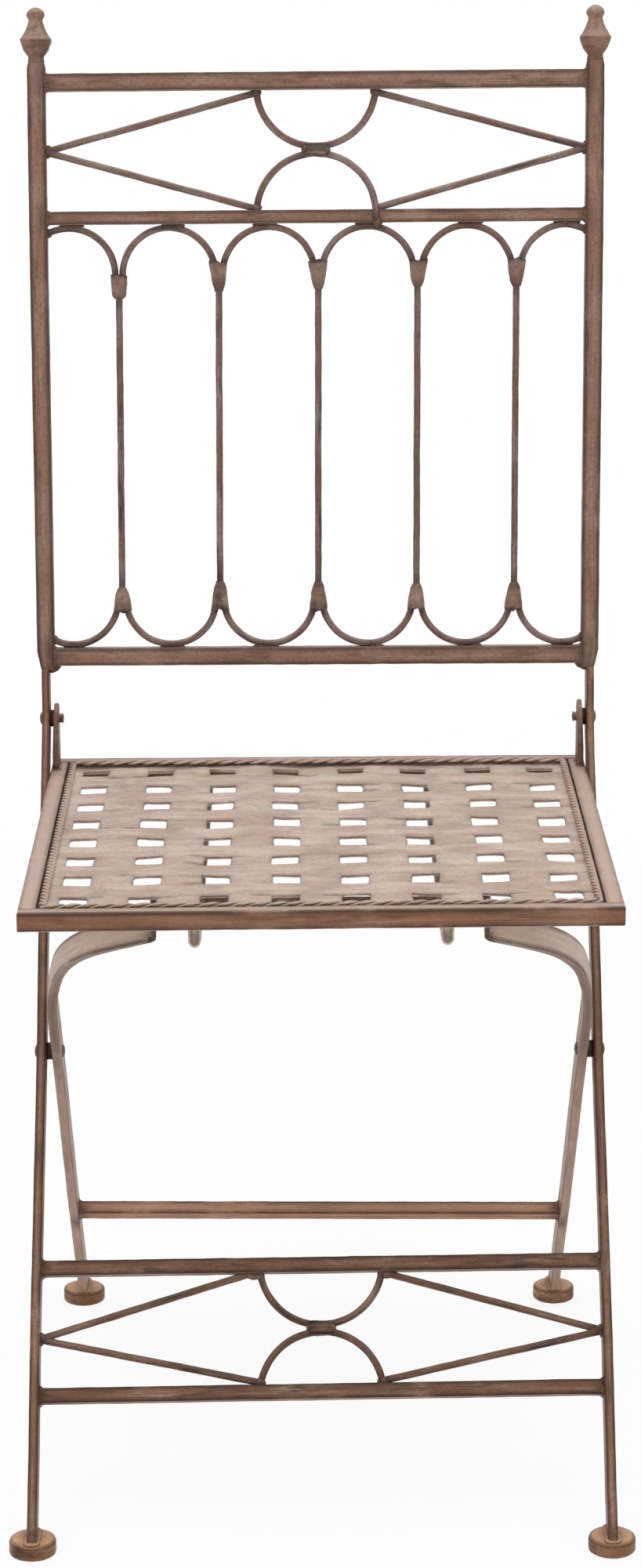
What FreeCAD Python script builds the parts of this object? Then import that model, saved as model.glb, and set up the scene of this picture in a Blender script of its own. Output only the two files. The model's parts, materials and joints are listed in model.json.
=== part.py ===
import FreeCAD, Part
import math
import os

V = FreeCAD.Vector
os.makedirs("parts", exist_ok=True)

# Driving sizes in millimetres and degrees. The design origin is on the floor, y runs backwards and z up,
# and the front legs meet the tops of their feet at y = 0.

# stance
seat_height = 450.0         # floor to the top of the seat frame
seat_width = 367.0
seat_depth = 368.0
seat_overhang = 61.5        # seat front edge ahead of the front feet
leg_lean = 31.0             # front legs from upright, leaning back
rear_lean = 43.5            # rear legs from upright, leaning forward
back_lean = 6.5             # back frame from upright, leaning back
pivot_height = 285.0        # crossing rivets of the legs above the floor
hinge_rise = 34.6           # seat hinge rivets above the seat frame top

# flat bars of the legs
bar_thick = 6.2
bar_wide = 20.0
leg_bend_radius = 30.0
pivot_gap = 4.4             # between a front and a rear leg, filled by a spacer
seat_side_gap = 0.6         # between the seat frame and a front leg

# feet
foot_diameter = 30.5
foot_height = 10.0
foot_round = 2.5

# rivets and spacers
rivet_diameter = 6.0
head_diameter = 9.0
head_height = 2.3
spacer_diameter = 11.5
running_clearance = 0.05    # radial, between a rivet and what turns on it

# back frame
post_side = 12.0
back_gap = 37.5             # seat hinge to the underside of the bottom rail
back_height = 399.0         # bottom rail underside to top rail top
post_above_rail = 6.0
post_below_rail = 3.0
post_bevel = 12.5           # height of the bevel at the foot of each post
rail_side = 12.0
panel_rail_side = 9.0
panel_height = 79.5         # clear height of the back panel
bar_diameter = 4.6          # bent bars of both panels

# finials
finial_base = 11.0
finial_collar = 4.0
finial_bulb = 20.5
finial_bulb_rise = 11.0
finial_neck = 9.5
finial_neck_rise = 12.0
finial_ball = 12.0

# arcade of the back
rod_count = 5
rod_pitch = 67.0
rod_diameter = 4.5
arch_gap = 0.6              # between the ends of neighbouring arches
arch_tail = 0.8             # straight end of an arch inside its collar
collar_rise = 8.2           # part of a collar around the bent bars of the arches
collar_drop = 9.8           # part of a collar around their straight ends and the rod
collar_wall = 0.85          # around the arches
collar_rod_wall = 1.5       # around the rod

# front stretchers and their panel
stretcher_side = 10.0
stretcher_low = 91.8        # foot top to the lower stretcher, along the leg
stretcher_pitch = 82.8      # between the two front stretchers
rear_stretcher_up = 132.5   # foot top to the rear stretcher, along the leg

# motif shared by both panels
motif_reach = 38.0          # half the distance between the diagonals at a rail
motif_half_chord = 40.0     # half the width of the bowl and of the arch
front_motif_drop = 4.5      # the front diagonals meet the legs this far below mid-height
clip_width = 17.0
clip_height = 10.0
clip_depth = 7.0

# bent tops of the rear legs
top_bend_start = 92.0       # above the crossing rivet, along the leg
top_bend_radius = 54.0
top_bend_angle = 61.0
arm_half_gap = 106.0        # centre to the turned-up end of each leg
end_bend_radius = 7.0
end_above_rod = 6.5
slide_rod_diameter = 10.0
rod_clearance = 0.3         # between the slide rod and the guides

# seat
seat_rail_wide = 11.0
seat_rail_tall = 12.0
sheet_drop = 2.2            # frame top to the sheet
sheet_thick = 1.2
hole_edge = 10.0            # least sheet between the holes and the rails
hole_pitch = 43.3
hole_wide = 17.0
hole_deep = 20.0
rope_diameter = 4.8
rope_gap = 0.3              # between the rope trim and the rails
rope_corner = 6.0
tab_thick = 4.2
tab_wide = 22.0
hinge_gap = 2.2             # between a hinge tab and a front leg, filled by a spacer
guide_wide = 8.0
guide_tall = 12.2
guide_step = 5.5            # step in the underside that holds the slide rod
guide_half_pitch = 76.5
guide_setback = 4.0         # front end behind the seat's front edge

# Places that follow from the sizes
seat_front = -seat_overhang
seat_back = seat_front + seat_depth
seat_half = seat_width / 2
rail_inner = seat_half - seat_rail_wide
frame_bottom = seat_height - seat_rail_tall
leg_inner = seat_half + seat_side_gap
leg_x = leg_inner + bar_thick / 2
rear_outer = leg_inner - pivot_gap
rear_x = rear_outer - bar_thick / 2
rear_inner = rear_outer - bar_thick
hinge_z = seat_height + hinge_rise
leg_slope = math.tan(math.radians(leg_lean))
hinge_y = (hinge_z - foot_height) * leg_slope
pivot_y = (pivot_height - foot_height) * leg_slope
rear_drop = pivot_height - foot_height
rear_foot_y = pivot_y + rear_drop * math.tan(math.radians(rear_lean))
pivot_up = rear_drop / math.cos(math.radians(rear_lean))
middle_y = (seat_front + rear_foot_y + foot_diameter / 2) / 2
post_inner = leg_x - post_side / 2
post_outer = leg_x + post_side / 2
nodes = {}


def add(name, shape, origin_y=0.0, origin_z=0.0, lean=0.0):
    """Keep a shape under its node's name, leaned back about X and moved to its place."""
    shape = shape.copy()
    shape.rotate(V(0, 0, 0), V(1, 0, 0), -lean)
    shape.translate(V(0, origin_y - middle_y, origin_z))
    nodes[name] = shape


def add_pair(name, make, *place):
    """A left and a right piece; make(side) takes -1 for the left and 1 for the right."""
    add(name + "_left", make(-1), *place)
    add(name + "_right", make(1), *place)


def box(x0, x1, y0, y1, z0, z1):
    return Part.makeBox(x1 - x0, y1 - y0, z1 - z0, V(x0, y0, z0))


def rectangle(x0, x1, y0, y1, z):
    return Part.makePolygon([V(x0, y0, z), V(x1, y0, z), V(x1, y1, z), V(x0, y1, z), V(x0, y0, z)])


def rod(start, end, diameter):
    return Part.makeCylinder(diameter / 2, (end - start).Length, start, end - start)


def hole(x, y, z):
    """A rivet hole along X through everything near x."""
    reach = 2 * bar_thick
    radius = rivet_diameter / 2 + running_clearance
    return Part.makeCylinder(radius, 2 * reach, V(x - reach, y, z), V(1, 0, 0))


def slab(points, direction):
    """A flat outline pushed along a direction."""
    return Part.Face(Part.makePolygon(points + points[:1])).extrude(direction)


def strip_edge(points, radii, offset):
    """One side of a bent strip: the route moved sideways, its corners as arcs about the same centres."""
    edges = []
    last = None
    for index in range(len(points) - 1):
        ahead = (points[index + 1] - points[index]).normalize()
        left = V(-ahead.z, 0, ahead.x)
        if last is None:
            last = points[0] + left * offset
        if index == len(points) - 2:
            edges.append(Part.makeLine(last, points[-1] + left * offset))
            break
        turn_to = (points[index + 2] - points[index + 1]).normalize()
        turn = math.atan2(ahead.x * turn_to.z - ahead.z * turn_to.x, ahead.dot(turn_to))
        side = math.copysign(1.0, turn)
        tangent = radii[index] * math.tan(abs(turn) / 2)
        enter = points[index + 1] - ahead * tangent
        leave = points[index + 1] + turn_to * tangent
        centre = enter + left * side * radii[index]
        new_left = V(-turn_to.z, 0, turn_to.x)
        middle = (left + new_left).normalize() * (offset - side * radii[index])
        edges.append(Part.makeLine(last, enter + left * offset))
        last = leave + new_left * offset
        edges.append(Part.Arc(enter + left * offset, centre + middle, last).toShape())
    return edges


def strip(points, radii, wide, depth):
    """A bent strip in the XZ plane, centred on a route, pushed along Y about that plane."""
    one = strip_edge(points, radii, wide / 2)
    other = strip_edge(points, radii, -wide / 2)
    caps = []
    for pick in (0, -1):
        caps.append(Part.makeLine(one[pick].Vertexes[pick].Point, other[pick].Vertexes[pick].Point))
    wire = Part.Wire(Part.__sortEdges__(one + other + caps))
    body = Part.Face(wire).extrude(V(0, depth, 0))
    body.translate(V(0, -depth / 2, 0))
    return body


def half_ring(x, z, radius, diameter, floor_z, roof_z):
    """The part of an upright ring that lies between two levels."""
    ring = Part.makeTorus(radius, diameter / 2, V(x, 0, z), V(0, 1, 0))
    reach = radius + diameter
    return ring.common(box(x - reach, x + reach, -diameter, diameter, floor_z, roof_z))


def rivet(y, z, inner_x, outer_x, side):
    """A shank along X with a domed head at each end."""
    shank, head = rivet_diameter / 2, head_diameter / 2
    sphere = (head * head + head_height * head_height) / (2 * head_height)
    slant = math.asin(head / sphere) / 2
    rise = sphere * math.cos(slant) - (sphere - head_height)
    bulge = sphere * math.sin(slant)
    inner_tip, outer_tip = V(inner_x - head_height, 0, 0), V(outer_x + head_height, 0, 0)
    edges = [
        Part.Arc(inner_tip, V(inner_x - rise, bulge, 0), V(inner_x, head, 0)).toShape(),
        Part.makeLine(V(inner_x, head, 0), V(inner_x, shank, 0)),
        Part.makeLine(V(inner_x, shank, 0), V(outer_x, shank, 0)),
        Part.makeLine(V(outer_x, shank, 0), V(outer_x, head, 0)),
        Part.Arc(V(outer_x, head, 0), V(outer_x + rise, bulge, 0), outer_tip).toShape(),
        Part.makeLine(outer_tip, inner_tip),
    ]
    body = Part.Face(Part.Wire(edges)).revolve(V(0, 0, 0), V(1, 0, 0), 360)
    if side < 0:
        body.rotate(V(0, 0, 0), V(0, 0, 1), 180)
    body.translate(V(0, y, z))
    return body


def spacer(y, z, inner_x, outer_x, side):
    start = inner_x if side > 0 else -outer_x
    ring = Part.makeCylinder(spacer_diameter / 2, outer_x - inner_x, V(start, y, z), V(1, 0, 0))
    return ring.cut(hole(side * leg_x, y, z))


def panel_motif(prefix, low, high, side_x, drop, *place):
    """Diagonals, bowl, arch and centre clip between two rails, at low and high in the panel's own plane."""
    middle = (low + high) / 2
    half = (high - low) / 2
    radius = bar_diameter / 2
    sag = half - radius
    ring = (motif_half_chord ** 2 + sag ** 2) / (2 * sag)
    bowl = half_ring(0, middle + radius + ring, ring, bar_diameter, middle, high)
    arch = half_ring(0, middle - radius - ring, ring, bar_diameter, low, middle)
    add(prefix + "_bowl", bowl, *place)
    add(prefix + "_arch", arch, *place)
    clip = box(-clip_width / 2, clip_width / 2, -clip_depth / 2, clip_depth / 2,
               middle - clip_height / 2, middle + clip_height / 2)
    add(prefix + "_clip", clip.cut(bowl).cut(arch), *place)
    meet = middle - drop
    for side, hand in ((-1, "_left"), (1, "_right")):
        bars = []
        for level in (low, high):
            foot, tip = V(side * side_x, 0, meet), V(side * motif_reach, 0, level)
            run = (tip - foot).normalize() * bar_wide
            near, far = sorted((side * side_x, side * motif_half_chord))
            cell = box(near, far, -radius, radius, min(meet, level), max(meet, level))
            bars.append(rod(foot - run, tip + run, bar_diameter).common(cell).cut(bowl).cut(arch))
        add(prefix + "_diagonals" + hand, Part.makeCompound(bars), *place)


# Back frame, in its own plane: z up from the seat hinge along the posts
back_place = (hinge_y, hinge_z, back_lean)
low_rail = back_gap + rail_side
rail_top = back_gap + back_height
rail_under = rail_top - rail_side
panel_top = rail_under - panel_height
arcade_top = panel_top - panel_rail_side
post_bottom = back_gap - post_below_rail
post_top = rail_top + post_above_rail


def make_post(side):
    outline = [V(side * post_inner, 0, post_bottom), V(side * (leg_x + bar_thick / 2), 0, post_bottom),
               V(side * post_outer, 0, post_bottom + post_bevel), V(side * post_outer, 0, post_top),
               V(side * post_inner, 0, post_top)]
    post = slab(outline, V(0, post_side, 0))
    post.translate(V(0, -post_side / 2, 0))
    return post


def make_finial(side):
    waist = finial_collar + finial_bulb_rise
    levels = [(0, finial_base), (finial_collar, finial_base), (waist, finial_bulb),
              (waist + finial_neck_rise, finial_neck)]
    squares = [rectangle(-wide / 2, wide / 2, -wide / 2, wide / 2, rise) for rise, wide in levels]
    body = Part.makeLoft(squares, True, True)
    neck_rise = levels[-1][0]
    ball_rise = math.sqrt(finial_ball ** 2 - finial_neck ** 2) / 2
    ball = Part.makeSphere(finial_ball / 2, V(0, 0, neck_rise + ball_rise))
    finial = body.fuse(ball)
    finial.translate(V(side * leg_x, 0, post_top))
    return finial


add_pair("back_post", make_post, *back_place)
add_pair("finial", make_finial, *back_place)
add("top_rail", box(-post_inner, post_inner, -rail_side / 2, rail_side / 2,
                    rail_under, rail_top), *back_place)
add("panel_rail", box(-post_inner, post_inner, -panel_rail_side / 2, panel_rail_side / 2,
                      arcade_top, panel_top), *back_place)
add("back_bottom_rail", box(-post_inner, post_inner, -rail_side / 2, rail_side / 2,
                            back_gap, low_rail), *back_place)
panel_motif("back_panel", panel_top, rail_under, post_inner, 0.0, *back_place)

# Arcade of the back: arches under the panel rail, the same arches upside down on the bottom rail, and
# rods between them. The ends of two arches and of a rod meet in a collar.
rod_xs = [(index - (rod_count - 1) / 2) * rod_pitch for index in range(rod_count)]
arch_radius = (rod_pitch - rod_diameter - arch_gap) / 2
arch_drop = arch_radius + rod_diameter / 2
rod_end = arch_drop + arch_tail
arch_spread = arch_radius - math.sqrt(arch_radius ** 2 - collar_rise ** 2)
collar_wide = rod_diameter + arch_gap / 2 + arch_spread + collar_wall
collar_narrow = rod_diameter / 2 + collar_rod_wall


def make_arches(rail_z, up):
    """Arches that touch a rail; the ones at the posts are cut short by the posts."""
    spring = rail_z - up * arch_drop
    tail = rail_z - up * rod_end
    centres = [x + rod_pitch / 2 for x in rod_xs[:-1]]
    centres = [centres[0] - rod_pitch] + centres + [centres[-1] + rod_pitch]
    inside = box(-post_inner, post_inner, -post_side, post_side, arcade_top - back_height, arcade_top)
    arches = []
    for x in centres:
        low, high = sorted((spring, rail_z))
        arch = half_ring(x, spring, arch_radius, rod_diameter, low, high)
        for foot_x in (x - arch_radius, x + arch_radius):
            if abs(foot_x) < post_inner:
                arch = arch.fuse(rod(V(foot_x, 0, tail), V(foot_x, 0, spring), rod_diameter))
        arches.append(arch.common(inside).removeSplitter())
    return arches


def make_collars(rail_z, up, holes):
    """Tapered collars, wide at the arches and narrow at the rod."""
    collars = []
    for x in rod_xs:
        start = V(x, 0, rail_z - up * (arch_drop - collar_rise))
        cone = Part.makeCone(collar_wide, collar_narrow, collar_rise + collar_drop, start, V(0, 0, -up))
        for piece in holes:
            cone = cone.cut(piece)
        collars.append(cone)
    return collars


rods = []
for index, x in enumerate(rod_xs):
    rods.append(rod(V(x, 0, low_rail + rod_end), V(x, 0, arcade_top - rod_end), rod_diameter))
    add("back_rod_" + str(index + 1), rods[-1], *back_place)
top_arches = make_arches(arcade_top, 1)
bottom_arches = make_arches(low_rail, -1)
add("top_arches", Part.makeCompound(top_arches), *back_place)
add("bottom_arches", Part.makeCompound(bottom_arches), *back_place)
add("top_collars", Part.makeCompound(make_collars(arcade_top, 1, rods + top_arches)), *back_place)
add("bottom_collars", Part.makeCompound(make_collars(low_rail, -1, rods + bottom_arches)), *back_place)


# Front legs: flat bars from the feet to the posts, bent at the seat hinge
def make_front_leg(side):
    back = math.radians(back_lean)
    route = [V(-foot_height * leg_slope, 0, 0), V(hinge_y, 0, hinge_z),
             V(hinge_y + post_bottom * math.sin(back), 0, hinge_z + post_bottom * math.cos(back))]
    bar = strip(route, [leg_bend_radius], bar_wide, bar_thick)
    bar = bar.common(box(-bar_wide, seat_depth, -bar_thick, bar_thick, foot_height, hinge_z + back_height))
    bar.rotate(V(0, 0, 0), V(0, 0, 1), 90)
    bar.translate(V(side * leg_x, 0, 0))
    for y, z in ((pivot_y, pivot_height), (hinge_y, hinge_z)):
        bar = bar.cut(hole(side * leg_x, y, z))
    return bar


def make_foot(x, y):
    foot = Part.makeCylinder(foot_diameter / 2, foot_height, V(x, y, 0))
    top = [edge for edge in foot.Edges if edge.BoundBox.ZMin > foot_height / 2]
    return foot.makeFillet(foot_round, top)


def make_stretcher(half, up):
    side = stretcher_side / 2
    return box(-half, half, -side, side, up - side, up + side)


leg_place = (0.0, foot_height, leg_lean)
stretcher_high = stretcher_low + stretcher_pitch
add_pair("front_leg", make_front_leg)
add_pair("front_foot", lambda side: make_foot(side * leg_x, 0))
add("front_stretcher_lower", make_stretcher(leg_inner, stretcher_low), *leg_place)
add("front_stretcher_upper", make_stretcher(leg_inner, stretcher_high), *leg_place)
panel_motif("front_panel", stretcher_low + stretcher_side / 2, stretcher_high - stretcher_side / 2,
            leg_inner, front_motif_drop, *leg_place)

# Rear legs, in their own plane: z up along the legs from the tops of the feet
rear_place = (rear_foot_y, foot_height, -rear_lean)
guide_under = frame_bottom - guide_tall
slide_z = guide_under + guide_step - rod_clearance - slide_rod_diameter / 2
slide_up = pivot_up + (slide_z - pivot_height) / math.cos(math.radians(rear_lean))


def make_rear_leg(side):
    bend = math.radians(top_bend_angle)
    corner = pivot_up + top_bend_start + top_bend_radius * math.tan(bend / 2)
    end_x = arm_half_gap + bar_thick / 2
    end_up = corner + (rear_x - end_x) / math.tan(bend)
    tip = slide_up + slide_rod_diameter / 2 + end_above_rod
    below = -foot_height - bar_wide
    route = [V(side * rear_x, 0, below), V(side * rear_x, 0, corner),
             V(side * end_x, 0, end_up), V(side * end_x, 0, tip)]
    bar = strip(route, [top_bend_radius, end_bend_radius], bar_thick, bar_wide)
    bar.rotate(V(0, 0, 0), V(1, 0, 0), rear_lean)
    bar.translate(V(0, rear_foot_y, foot_height))
    bar = bar.cut(box(-seat_width, seat_width, 0, 2 * seat_depth, -seat_height, foot_height))
    return bar.cut(hole(side * rear_x, pivot_y, pivot_height))


add_pair("rear_leg", make_rear_leg)
add_pair("rear_foot", lambda side: make_foot(side * rear_x, rear_foot_y))
add("rear_stretcher", make_stretcher(rear_inner, rear_stretcher_up), *rear_place)
slide_end = V(arm_half_gap, 0, slide_up)
add("slide_rod", rod(V(-arm_half_gap, 0, slide_up), slide_end, slide_rod_diameter), *rear_place)

# Seat
inner_front = seat_front + seat_rail_wide
inner_back = seat_back - seat_rail_wide
add("seat_rail_front", box(-seat_half, seat_half, seat_front, inner_front, frame_bottom, seat_height))
add("seat_rail_rear", box(-seat_half, seat_half, inner_back, seat_back, frame_bottom, seat_height))
add("seat_rail_left", box(-seat_half, -rail_inner, inner_front, inner_back, frame_bottom, seat_height))
add("seat_rail_right", box(rail_inner, seat_half, inner_front, inner_back, frame_bottom, seat_height))


def hole_places(start, end, size):
    """Centres of as many holes as fit between two rails at the pitch, in the middle of the gap."""
    count = int((end - start - size - 2 * hole_edge) / hole_pitch) + 1
    first = (start + end - (count - 1) * hole_pitch) / 2
    return [first + index * hole_pitch for index in range(count)]


def make_sheet():
    sheet_bottom = seat_height - sheet_drop - sheet_thick
    wires = [rectangle(-rail_inner, rail_inner, inner_front, inner_back, sheet_bottom)]
    for x in hole_places(-rail_inner, rail_inner, hole_wide):
        for y in hole_places(inner_front, inner_back, hole_deep):
            wires.append(rectangle(x - hole_wide / 2, x + hole_wide / 2,
                                   y - hole_deep / 2, y + hole_deep / 2, sheet_bottom))
    return Part.makeFace(wires, "Part::FaceMakerBullseye").extrude(V(0, 0, sheet_thick))


def make_rope():
    """A round bar along all four rails, on the sheet, with rounded corners."""
    inset = rope_gap + rope_diameter / 2
    z = seat_height - sheet_drop + rope_diameter / 2
    half, front, back = rail_inner - inset, inner_front + inset, inner_back - inset
    quarter = math.sqrt(0.5)
    edges = [Part.makeLine(V(0, front, z), V(half - rope_corner, front, z))]
    corners = [(half, front, 1, -1), (half, back, 1, 1), (-half, back, -1, 1), (-half, front, -1, -1)]
    for index, (x, y, sx, sy) in enumerate(corners):
        centre = V(x - sx * rope_corner, y - sy * rope_corner, z)
        ends = [centre + V(0, sy * rope_corner, 0), centre + V(sx * rope_corner, 0, 0)]
        if index % 2:
            ends.reverse()
        between = centre + V(sx * quarter, sy * quarter, 0) * rope_corner
        edges.append(Part.Arc(ends[0], between, ends[1]).toShape())
        if index < 3:
            x, y, sx, sy = corners[index + 1]
            centre = V(x - sx * rope_corner, y - sy * rope_corner, z)
            start = centre + (V(sx * rope_corner, 0, 0) if index % 2 == 0 else V(0, sy * rope_corner, 0))
            edges.append(Part.makeLine(ends[1], start))
        else:
            edges.append(Part.makeLine(ends[1], V(0, front, z)))
    section = Part.Wire(Part.makeCircle(rope_diameter / 2, V(0, front, z), V(1, 0, 0)))
    return Part.Wire(edges).makePipeShell([section], True, False)


def make_tab(side):
    """An upright flat bar with a round top on a side rail, drilled for the seat hinge."""
    outer = leg_inner - hinge_gap
    start = outer - tab_thick if side > 0 else -outer
    half = tab_wide / 2
    tab = box(start, start + tab_thick, hinge_y - half, hinge_y + half, seat_height, hinge_z)
    tab = tab.fuse(Part.makeCylinder(half, tab_thick, V(start, hinge_y, hinge_z), V(1, 0, 0)))
    return tab.removeSplitter().cut(hole(side * outer, hinge_y, hinge_z))


def make_guide(side):
    """A bar with a round underside, under the front and rear rails; behind a step it is shallower."""
    x = side * guide_half_pitch
    half = guide_wide / 2
    front, back = seat_front + guide_setback, seat_back
    step_y = slide_y - slide_rod_diameter / 2 - rod_clearance
    guide = box(x - half, x + half, front, back, guide_under + half, frame_bottom)
    guide = guide.fuse(Part.makeCylinder(half, back - front, V(x, front, guide_under + half), V(0, 1, 0)))
    way = box(x - guide_wide, x + guide_wide, step_y, back + guide_wide,
              guide_under - guide_wide, guide_under + guide_step)
    return guide.removeSplitter().cut(way)


slide_y = rear_foot_y - slide_up * math.sin(math.radians(rear_lean))
add("seat_sheet", make_sheet())
add("rope_trim", make_rope())
add_pair("hinge_tab", make_tab)
add_pair("guide_bar", make_guide)

# Rivets and spacers
tab_outer = leg_inner - hinge_gap
leg_outer = leg_inner + bar_thick
add_pair("hinge_rivet", lambda side: rivet(hinge_y, hinge_z, tab_outer - tab_thick, leg_outer, side))
add_pair("pivot_rivet", lambda side: rivet(pivot_y, pivot_height, rear_inner, leg_outer, side))
add_pair("hinge_spacer", lambda side: spacer(hinge_y, hinge_z, tab_outer, leg_inner, side))
add_pair("pivot_spacer", lambda side: spacer(pivot_y, pivot_height, rear_outer, leg_inner, side))

for name, shape in nodes.items():
    shape.exportStep("parts/" + name + ".step")
    print(name, "solids", len(shape.Solids), "valid", shape.isValid(), "volume", round(shape.Volume, 1))
print("seat hinge at y", round(hinge_y - middle_y, 3), "z", round(hinge_z, 3))
print("leg pivot at y", round(pivot_y - middle_y, 3), "z", round(pivot_height, 3))
print("slide rod at y", round(slide_y - middle_y, 3), "z", round(slide_z, 3))
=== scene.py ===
import json
import math
import re
import bpy
import numpy as np
from mathutils import Matrix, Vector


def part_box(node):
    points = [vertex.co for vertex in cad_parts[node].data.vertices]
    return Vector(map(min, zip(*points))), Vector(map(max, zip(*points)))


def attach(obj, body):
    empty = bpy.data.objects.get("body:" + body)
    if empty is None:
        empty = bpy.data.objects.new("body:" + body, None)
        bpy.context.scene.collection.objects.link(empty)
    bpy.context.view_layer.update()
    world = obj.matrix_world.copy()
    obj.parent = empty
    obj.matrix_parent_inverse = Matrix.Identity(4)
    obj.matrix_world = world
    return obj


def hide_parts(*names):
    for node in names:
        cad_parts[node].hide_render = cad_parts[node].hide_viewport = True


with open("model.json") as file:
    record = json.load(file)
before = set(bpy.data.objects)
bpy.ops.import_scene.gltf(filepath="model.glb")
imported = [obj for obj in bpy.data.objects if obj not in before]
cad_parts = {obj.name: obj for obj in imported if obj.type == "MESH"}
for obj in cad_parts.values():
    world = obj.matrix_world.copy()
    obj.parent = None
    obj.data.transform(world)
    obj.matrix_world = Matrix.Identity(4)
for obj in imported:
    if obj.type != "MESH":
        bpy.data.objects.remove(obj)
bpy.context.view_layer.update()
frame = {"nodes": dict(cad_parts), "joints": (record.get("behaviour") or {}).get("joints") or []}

mm = 0.001                                   # sizes below are millimetres, meshes are metres
xDir, yDir, zDir = np.eye(3)
hands = ((-1, "Left"), (1, "Right"))
jointPlace = {joint["name"]: np.array(joint["pos_m"]) / mm for joint in frame["joints"]}
hinge, pivot = jointPlace["seat_fold"], jointPlace["leg_fold"]
print("frame loaded with", len(frame["nodes"]), "CAD nodes")


def nodeName(name):                          # the CAD node that a piece replaces: backRod1 gives back_rod_1
    return re.sub("(?<=[a-z])(?=[A-Z0-9])", "_", name).lower()


def boxOf(name):                             # lowest and highest corner of a piece's CAD node, in millimetres
    low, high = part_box(nodeName(name))
    return np.array(low) / mm, np.array(high) / mm


def middleOf(name):
    return np.mean(boxOf(name), axis=0)


def between(value, start, end):              # 0 up to start, 1 from end on, a straight line between them
    return np.clip((value - start) / (end - start), 0, 1)


def smooth(t):
    return t * t * (3 - 2 * t)


def unit(vectors):
    return vectors / np.linalg.norm(vectors, axis=-1, keepdims=True)


def lengths(path):                           # how far along a path each of its points is
    return np.r_[0, np.cumsum(np.linalg.norm(np.diff(path, axis=0), axis=1))]


def pointsAt(s, span, points):
    return np.stack([np.interp(s, span, points[:, k]) for k in range(3)], 1)


def leanedPlane(origin, lean):
    # a plane through origin that leans back: place = origin + x X + up U + out D
    angle = math.radians(lean)
    upDir = np.array([0, math.sin(angle), math.cos(angle)])
    outDir = np.array([0, math.cos(angle), -math.sin(angle)])

    def place(x, up, out=0.0):
        x, up, out = np.broadcast_arrays(np.asarray(x, float), up, out)
        return origin + x[..., None] * xDir + up[..., None] * upDir + out[..., None] * outDir
    return place, upDir, outDir


def forged(s, seed, longest=110.0, waves=5):
    # unevenness along s: a sum of sines, each 0.6 as long as the one before and 0.75 as tall
    rng = np.random.default_rng(seed)
    size = longest * 0.6 ** np.arange(waves) * rng.uniform(0.8, 1.25, waves)
    tall = 0.75 ** np.arange(waves)
    phase = rng.uniform(0, 2 * math.pi, waves)
    return (np.sin(np.asarray(s)[..., None] * 2 * math.pi / size + phase) * tall).sum(-1) / tall.sum()


def dents(s, v, seed, size=15.0, waves=12):
    # hammer marks over two lengths s and v: sines that run in seeded directions, added up
    rng = np.random.default_rng(seed)
    angle = rng.uniform(0, 2 * math.pi, waves)
    wave = 2 * math.pi / (size * rng.uniform(0.6, 1.8, waves))
    phase = rng.uniform(0, 2 * math.pi, waves)
    turn = s[..., None] * (np.cos(angle) * wave) + v[..., None] * (np.sin(angle) * wave)
    return np.sin(turn + phase).sum(-1) / math.sqrt(waves)


def closeSection(points, edge):
    step = np.linalg.norm(np.roll(points, -1, axis=0) - points, axis=1)
    return {"points": points, "edge": edge, "around": np.r_[0, np.cumsum(step)],
            "half": np.abs(points).max(0)}


def barSection(wide, tall, corner, flats=4, turns=3):
    # rounded rectangle, anticlockwise: quarter circles joined by straight runs; its edge mask is 1 on the
    # corners and falls off as exp(-distance / 1.1) along the runs
    centres = np.array([[1, 1], [-1, 1], [-1, -1], [1, -1]]) * [wide / 2 - corner, tall / 2 - corner]
    angle = (np.arange(4)[:, None] + np.linspace(0, 1, turns + 1)) * math.pi / 2
    arcs = centres[:, None] + corner * np.stack([np.cos(angle), np.sin(angle)], -1)
    share = np.linspace(0, 1, flats + 2)[1:-1]
    start, run = arcs[:, -1], np.roll(arcs[:, 0], -1, axis=0) - arcs[:, -1]
    runs = start[:, None] + run[:, None] * share[:, None]
    reach = np.minimum(share, 1 - share) * np.linalg.norm(run, axis=1)[:, None]
    edge = np.concatenate([np.ones((4, turns + 1)), np.exp(-reach / 1.1)], 1).ravel()
    return closeSection(np.concatenate([arcs, runs], 1).reshape(-1, 2), edge)


def roundSection(wide, count=12, square=2.0, tall=None):
    # superellipse |a|^square + |b|^square = 1, stretched to wide and tall; its edge mask darkens its flanks
    angle = np.arange(count) * 2 * math.pi / count
    c, s = np.cos(angle), np.sin(angle)
    reach = (np.abs(c) ** square + np.abs(s) ** square) ** (-1 / square)
    points = np.stack([c * reach * wide / 2, s * reach * (tall or wide) / 2], -1)
    return closeSection(points, 0.8 * np.abs(s) ** 8)


def skin(verts, quads, quadUv, edge):
    return {"verts": verts, "quads": quads, "quadUv": quadUv, "edge": edge,
            "tris": np.zeros((0, 3), int), "triUv": np.zeros((0, 3, 2))}


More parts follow.
